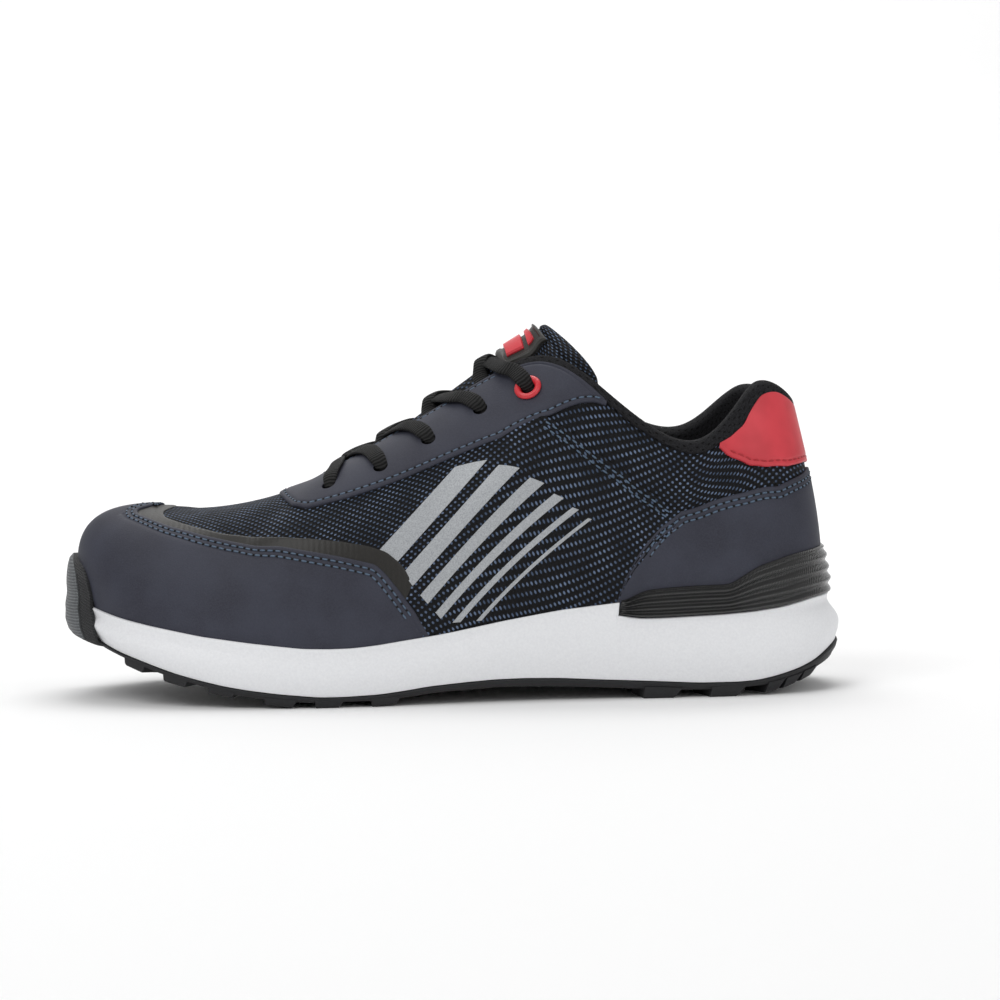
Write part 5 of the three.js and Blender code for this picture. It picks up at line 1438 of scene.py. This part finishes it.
def tongue_face(rows, cols):
    """Grid of points of the tongue's face."""
    lengthwise = bend_along(TONGUE, rows)
    return np.swapaxes(bend_along(np.swapaxes(lengthwise, 0, 1), cols), 0, 1)


def tongue_offset(rows, cols, distance):
    """The face moved along its normal."""
    face = tongue_face(rows, cols)
    step = 0.02
    lengthwise = tongue_face(rows + step, cols) - tongue_face(rows - step, cols)
    across = tongue_face(rows, cols + step) - tongue_face(rows, cols - step)
    return face + unit(np.cross(lengthwise, across)) * np.asarray(distance)[..., None]


def build_tongue():
    """Padded tongue: two sheets that meet in a rounded edge, fuller towards its free top."""
    rows = np.linspace(0.02, len(TONGUE) - 1.02, 130)
    cols = np.linspace(0.02, TONGUE.shape[1] - 1.02, 70)
    r, c = np.meshgrid(rows, cols, indexing="ij")
    edge = np.minimum(1 - np.abs(c / 3 - 1), (len(TONGUE) - 1 - r) * 0.35)
    full = np.sqrt(1 - (1 - np.clip(edge / 0.14, 0, 1)) ** 2)
    thick = mix(2.6, 4.6, fade(r, 3, 8)) * mix(0.12, 1, full)
    middle = -mix(1.3, 2.3, fade(r, 3, 8))
    sew = 0.8 * np.exp(-(((r - 8.3) / 0.1) ** 2)) * fade(r, 7.5, 8)
    front = tongue_offset(rows, cols, middle + thick / 2 - sew)
    back = tongue_offset(rows, cols, middle - thick / 2)
    points, faces, tones = slab(front, back)
    uv = np.stack([r * 17.5, (c - 3) * 12.0], -1).reshape(-1, 2)
    piece = make_piece("tongue_pad", points, faces, np.concatenate([uv, uv]), [MESH, LINING, LINING],
                       ["tongue"], tones)


def tongue_plate(name, row_span, col_span, low, high, material, node, frame_rise=0.0):
    """Plate on the tongue with softly rounded edges, and a raised rim where it has one."""
    k = np.array([
        0, 0.012, 0.03, 0.07, 0.1, 0.13, 0.2, 0.35, 0.5, 0.65, 0.8, 0.87, 0.9, 0.93, 0.97, 0.988, 1,
    ])
    rows, cols = mix(row_span[0], row_span[1], k), mix(col_span[0], col_span[1], k)
    kr, kc = np.meshgrid(k, k, indexing="ij")
    inset = np.minimum(np.minimum(kr, 1 - kr), np.minimum(kc, 1 - kc))
    height = mix(low, high, 0.55 + 0.45 * fade(inset, 0, 0.03))
    height = height + frame_rise * (1 - fade(inset, 0.075, 0.1))
    front = tongue_offset(rows, cols, height)
    back = tongue_offset(rows, cols, np.full(kr.shape, low))
    points, faces, _ = slab(front, back)
    make_piece(name, points, faces, plan_uv(points), [material], node)


def build_badge():
    """Rubber label with a raised frame and two plain red bars."""
    tongue_plate("badge_plate", (5.78, 8.18), (2.25, 3.75), 0.0, 1.6, BADGE, ["tongue_badge"], 0.7)
    for index, span in enumerate([(6.08, 6.75), (7.0, 7.6)]):
        tongue_plate(f"badge_red_bar_{index + 1}", span, (2.5, 3.5), 1.5, 2.9, BARS,
                     [f"badge_bar_{index + 1}"])


# Eyelets and laces

def build_ring(name, station, share, node):
    """Turned ring: a rounded flange over the eyestay and a barrel down through it."""
    profile = np.array([
        [2.7, -3.2], [3.1, -3.2], [3.1, 0.15], [5.1, 0.15], [5.3, 0.6], [5.1, 1.15], [4.5, 1.6], [3.9, 1.7],
        [3.3, 1.45], [2.85, 0.9], [2.7, 0.2], [2.7, -3.2],
    ])
    axis = surface_normal(station, share)
    across = unit(np.cross(axis, [0, 0, 1.0]))
    other = np.cross(axis, across)
    turn = np.linspace(0, 2 * math.pi, 49)[:-1]
    centre = surface(station, share) + axis * OVERLAY
    rows = [centre + axis * h + r * (np.cos(turn)[:, None] * across + np.sin(turn)[:, None] * other)
            for r, h in profile]
    points, faces = rings(rows)
    make_piece(name, points, faces, plan_uv(points), [RING], [node], sharp=60)


def lace_tube(points, normals, sizes):
    """Flat lace along a path: a superellipse section that faces the given normals."""
    marks = np.linspace(0, len(points) - 1, 26 * (len(points) - 1) + 1)
    path = bend_along(points, marks)
    facing = unit(bend_along(normals, marks))
    width, thick = (np.interp(marks, np.arange(len(points)), size) for size in sizes.T)
    run = unit(np.gradient(path, axis=0))
    across = unit(np.cross(run, facing))
    up = np.cross(across, run)
    turn = np.linspace(0, 2 * math.pi, 25)[:-1]
    w = np.sign(np.cos(turn)) * np.abs(np.cos(turn)) ** 0.75
    h = np.sign(np.sin(turn)) * np.abs(np.sin(turn)) ** 0.75
    section = path[:, None] + across[:, None] * (w[None, :, None] * width[:, None, None] / 2) \
        + up[:, None] * (h[None, :, None] * thick[:, None, None] / 2)
    length = np.concatenate([[0], np.cumsum(np.linalg.norm(np.diff(path, axis=0), axis=1))])
    caps = [np.broadcast_to(path[0], section[0].shape), *section, np.broadcast_to(path[-1], section[0].shape)]
    body, faces = rings(caps)
    runs = np.concatenate([[length[0]], length, [length[-1]]])
    uv = np.stack([np.broadcast_to(runs[:, None], (len(caps), len(turn))),
                   np.broadcast_to(w * 3.2, (len(caps), len(turn)))], -1).reshape(-1, 2)
    return body, faces, uv


def throat_station(along):
    """Station at which the throat's edge lies at a distance from the heel."""
    stations = np.linspace(7, TOE - RIDGE_STATIONS, 500)
    tops = MIDDLE_ALONG - surface(stations, np.ones_like(stations))[..., 0]
    return np.interp(along, tops, stations)


def tongue_row(station):
    """Row of the tongue at a station."""
    return np.interp(-station, [-s for s in TONGUE_STATIONS], np.arange(len(TONGUE_STATIONS)))


def on_panel(station, share, side, seat):
    """Place and normal over the upper on one side of the shoe."""
    at = station if side < 0 else STATIONS - station
    normal = surface_normal(at, share)
    return surface(at, share) + normal * seat, normal


def build_laces():
    """Lace runs: a bar across the first eyelets, then crossings over the tongue.

    A crossing comes up from under one side and ends down through the other side's eyelet.
    """
    up = unit(np.array([-0.45, 0, 0.9]))
    levels = [throat_station(along_of(surface(s, t))) for s, t in EYELETS]

    def dive(index, side, edge):
        station, share = EYELETS[index]
        seat = 1.7 + OVERLAY * (index == len(EYELETS) - 1)
        stops = [on_panel(mix(edge, station, k), mix(0.97, share, k), side, OVERLAY + seat * lift)
                 for k, lift in ((0, 0.72), (0.4, 0.72), (0.8, 0.8))]
        stops.append(on_panel(station, share + 0.004, side, OVERLAY * 0.2))
        stops.append(on_panel(station, share - 0.004, side, -3.4))
        return stops

    runs = []
    beside_first = mix(float(levels[0]), EYELETS[0][0], 0.35)
    first = dive(0, -1, beside_first)[::-1]
    runs.append(("lace_bar_run", first + dive(0, 1, beside_first), ["lace_bar"], True))
    for index in range(1, len(EYELETS)):
        for side in (-1, 1):
            level = min(float(levels[index - 1]), TOE - RIDGE_STATIONS - 0.45)
            following = float(levels[index])
            far_station = EYELETS[index - 1][0]
            far = on_panel(mix(level, far_station, 0.5), 0.93, -side, -(UPPER_WALL + 1.3))
            rise = 1.4 if side < 0 else 3.0
            middle = TONGUE.shape[1] / 2 - 0.5
            crest = tongue_row(mix(level, following, 0.3 if index == 1 else 0.15))
            clear = 2.2 * (index == 1)
            edge_row = tongue_row(mix(level, following, 0.12 * (index == 1)))
            beside = np.array([middle - side * 0.5])
            out = tongue_offset(np.array([edge_row]), beside, np.array([[1.0 + clear]]))
            over = tongue_offset(np.array([crest]), np.array([middle + 0.0]), np.array([[rise + clear]]))
            stops = [far, (out[0, 0], mix(up, far[1], 0.4)), (over[0, 0], up)]
            stops += dive(index, side, mix(level, following, 0.5))
            name = f"lace_run_{index}_{'outer' if side < 0 else 'inner'}"
            runs.append((name, stops, [f"lace_crossing_{index}"] if side < 0 else [], False))
    for name, stops, nodes, both_ends in runs:
        points = np.array([np.ravel(p) for p, _ in stops])
        normals = np.array([np.ravel(n) for _, n in stops])
        sizes = np.tile(np.array(LACE_SIZE), (len(stops), 1))
        sizes[-2:] = LACE_IN_EYELET
        if both_ends:
            sizes[:2] = LACE_IN_EYELET
        body, faces, uv = lace_tube(points, normals, sizes)
        make_piece(name, body, faces, uv, [LACE], nodes, sharp=60)


# Studio

def build_floor():
    """Pale floor that curves up behind the shoe."""
    x = np.linspace(-3.0, 3.0, 3)
    profile = [[-3.0, 0.0], [1.2, 0.0], [1.6, 0.05], [1.9, 0.2], [2.05, 0.45], [2.1, 0.8], [2.1, 3.0]]
    points = [(a, b, c) for b, c in profile for a in x]
    faces = [(i * 3 + j, i * 3 + j + 1, i * 3 + j + 4, i * 3 + j + 3)
             for i in range(len(profile) - 1) for j in range(2)]
    mesh = bpy.data.meshes.new("studio_floor")
    mesh.from_pydata(points, [], faces)
    mesh.polygons.foreach_set("use_smooth", [True] * len(faces))
    material, _, shader, _ = new_material("studio_paper_white", 0.9)
    shader.inputs["Base Color"].default_value = linear("#f6f6f6")
    mesh.materials.append(material)
    floor = bpy.data.objects.new("studio_floor", mesh)
    bpy.context.scene.collection.objects.link(floor)


def add_light(name, place, target, size, power):
    """Square area light that looks at a place."""
    data = bpy.data.lights.new(name, "AREA")
    data.shape = "SQUARE"
    data.size = size
    data.energy = power
    light = bpy.data.objects.new(name, data)
    light.location = place
    light.rotation_euler = (Vector(target) - Vector(place)).to_track_quat("-Z", "Y").to_euler()
    bpy.context.scene.collection.objects.link(light)


CAMERA_TARGET = (0.01885, 0.00073, 0.0730)
CAMERA_DISTANCE = 1.1
CAMERA_AZIMUTH = -2.0
CAMERA_ELEVATION = 3.0
CAMERA_ROLL = 0.72
CAMERA_LENS = 102.2


def build_camera():
    """Camera at the photograph's angle: level with the shoe's side, a little above."""
    azimuth, elevation = math.radians(CAMERA_AZIMUTH), math.radians(CAMERA_ELEVATION)
    back = Vector((math.sin(azimuth) * math.cos(elevation), -math.cos(azimuth) * math.cos(elevation),
                   math.sin(elevation)))
    data = bpy.data.cameras.new("camera")
    data.lens = CAMERA_LENS
    data.sensor_width = 36
    camera = bpy.data.objects.new("camera", data)
    aim = (-back).to_track_quat("-Z", "Y").to_matrix().to_4x4()
    roll = Matrix.Rotation(math.radians(-CAMERA_ROLL), 4, "Z")
    camera.matrix_world = Matrix.Translation(Vector(CAMERA_TARGET) + back * CAMERA_DISTANCE) @ aim @ roll
    bpy.context.scene.collection.objects.link(camera)
    bpy.context.scene.camera = camera


def build_studio():
    """Floor, camera, soft light from all round, and four lamps: key, fill, top and backdrop."""
    build_floor()
    build_camera()
    world = bpy.data.worlds.new("studio_world")
    world.use_nodes = True
    world.node_tree.nodes["Background"].inputs["Color"].default_value = (1, 1, 1, 1)
    world.node_tree.nodes["Background"].inputs["Strength"].default_value = 0.46
    bpy.context.scene.world = world
    centre = (0, 0, 0.06)
    add_light("key", (-0.7, -0.9, 1.2), centre, 0.9, 7.5)
    add_light("fill", (0.9, -1.1, 0.7), centre, 1.0, 3.5)
    add_light("top", (0.1, 0.5, 1.4), centre, 1.0, 4.5)
    add_light("backdrop", (0.0, 1.0, 1.9), (0, 2.1, 0.4), 1.6, 22)
    bpy.context.scene.view_settings.view_transform = "Standard"


build_upper()
build_quarter()
build_toe_cap()
build_film()
build_counter()
build_patch()
build_eyestay()
build_collar()
build_bars()
build_stitches()
build_midsole()
build_insole()
build_stabilizer()
build_outsole()
build_guard()
build_tongue()
build_badge()
build_ring("ring_outer", *EYELETS[-1], "eyelet_ring_outer")
build_ring("ring_inner", STATIONS - EYELETS[-1][0], EYELETS[-1][1], "eyelet_ring_inner")
build_laces()
build_studio()
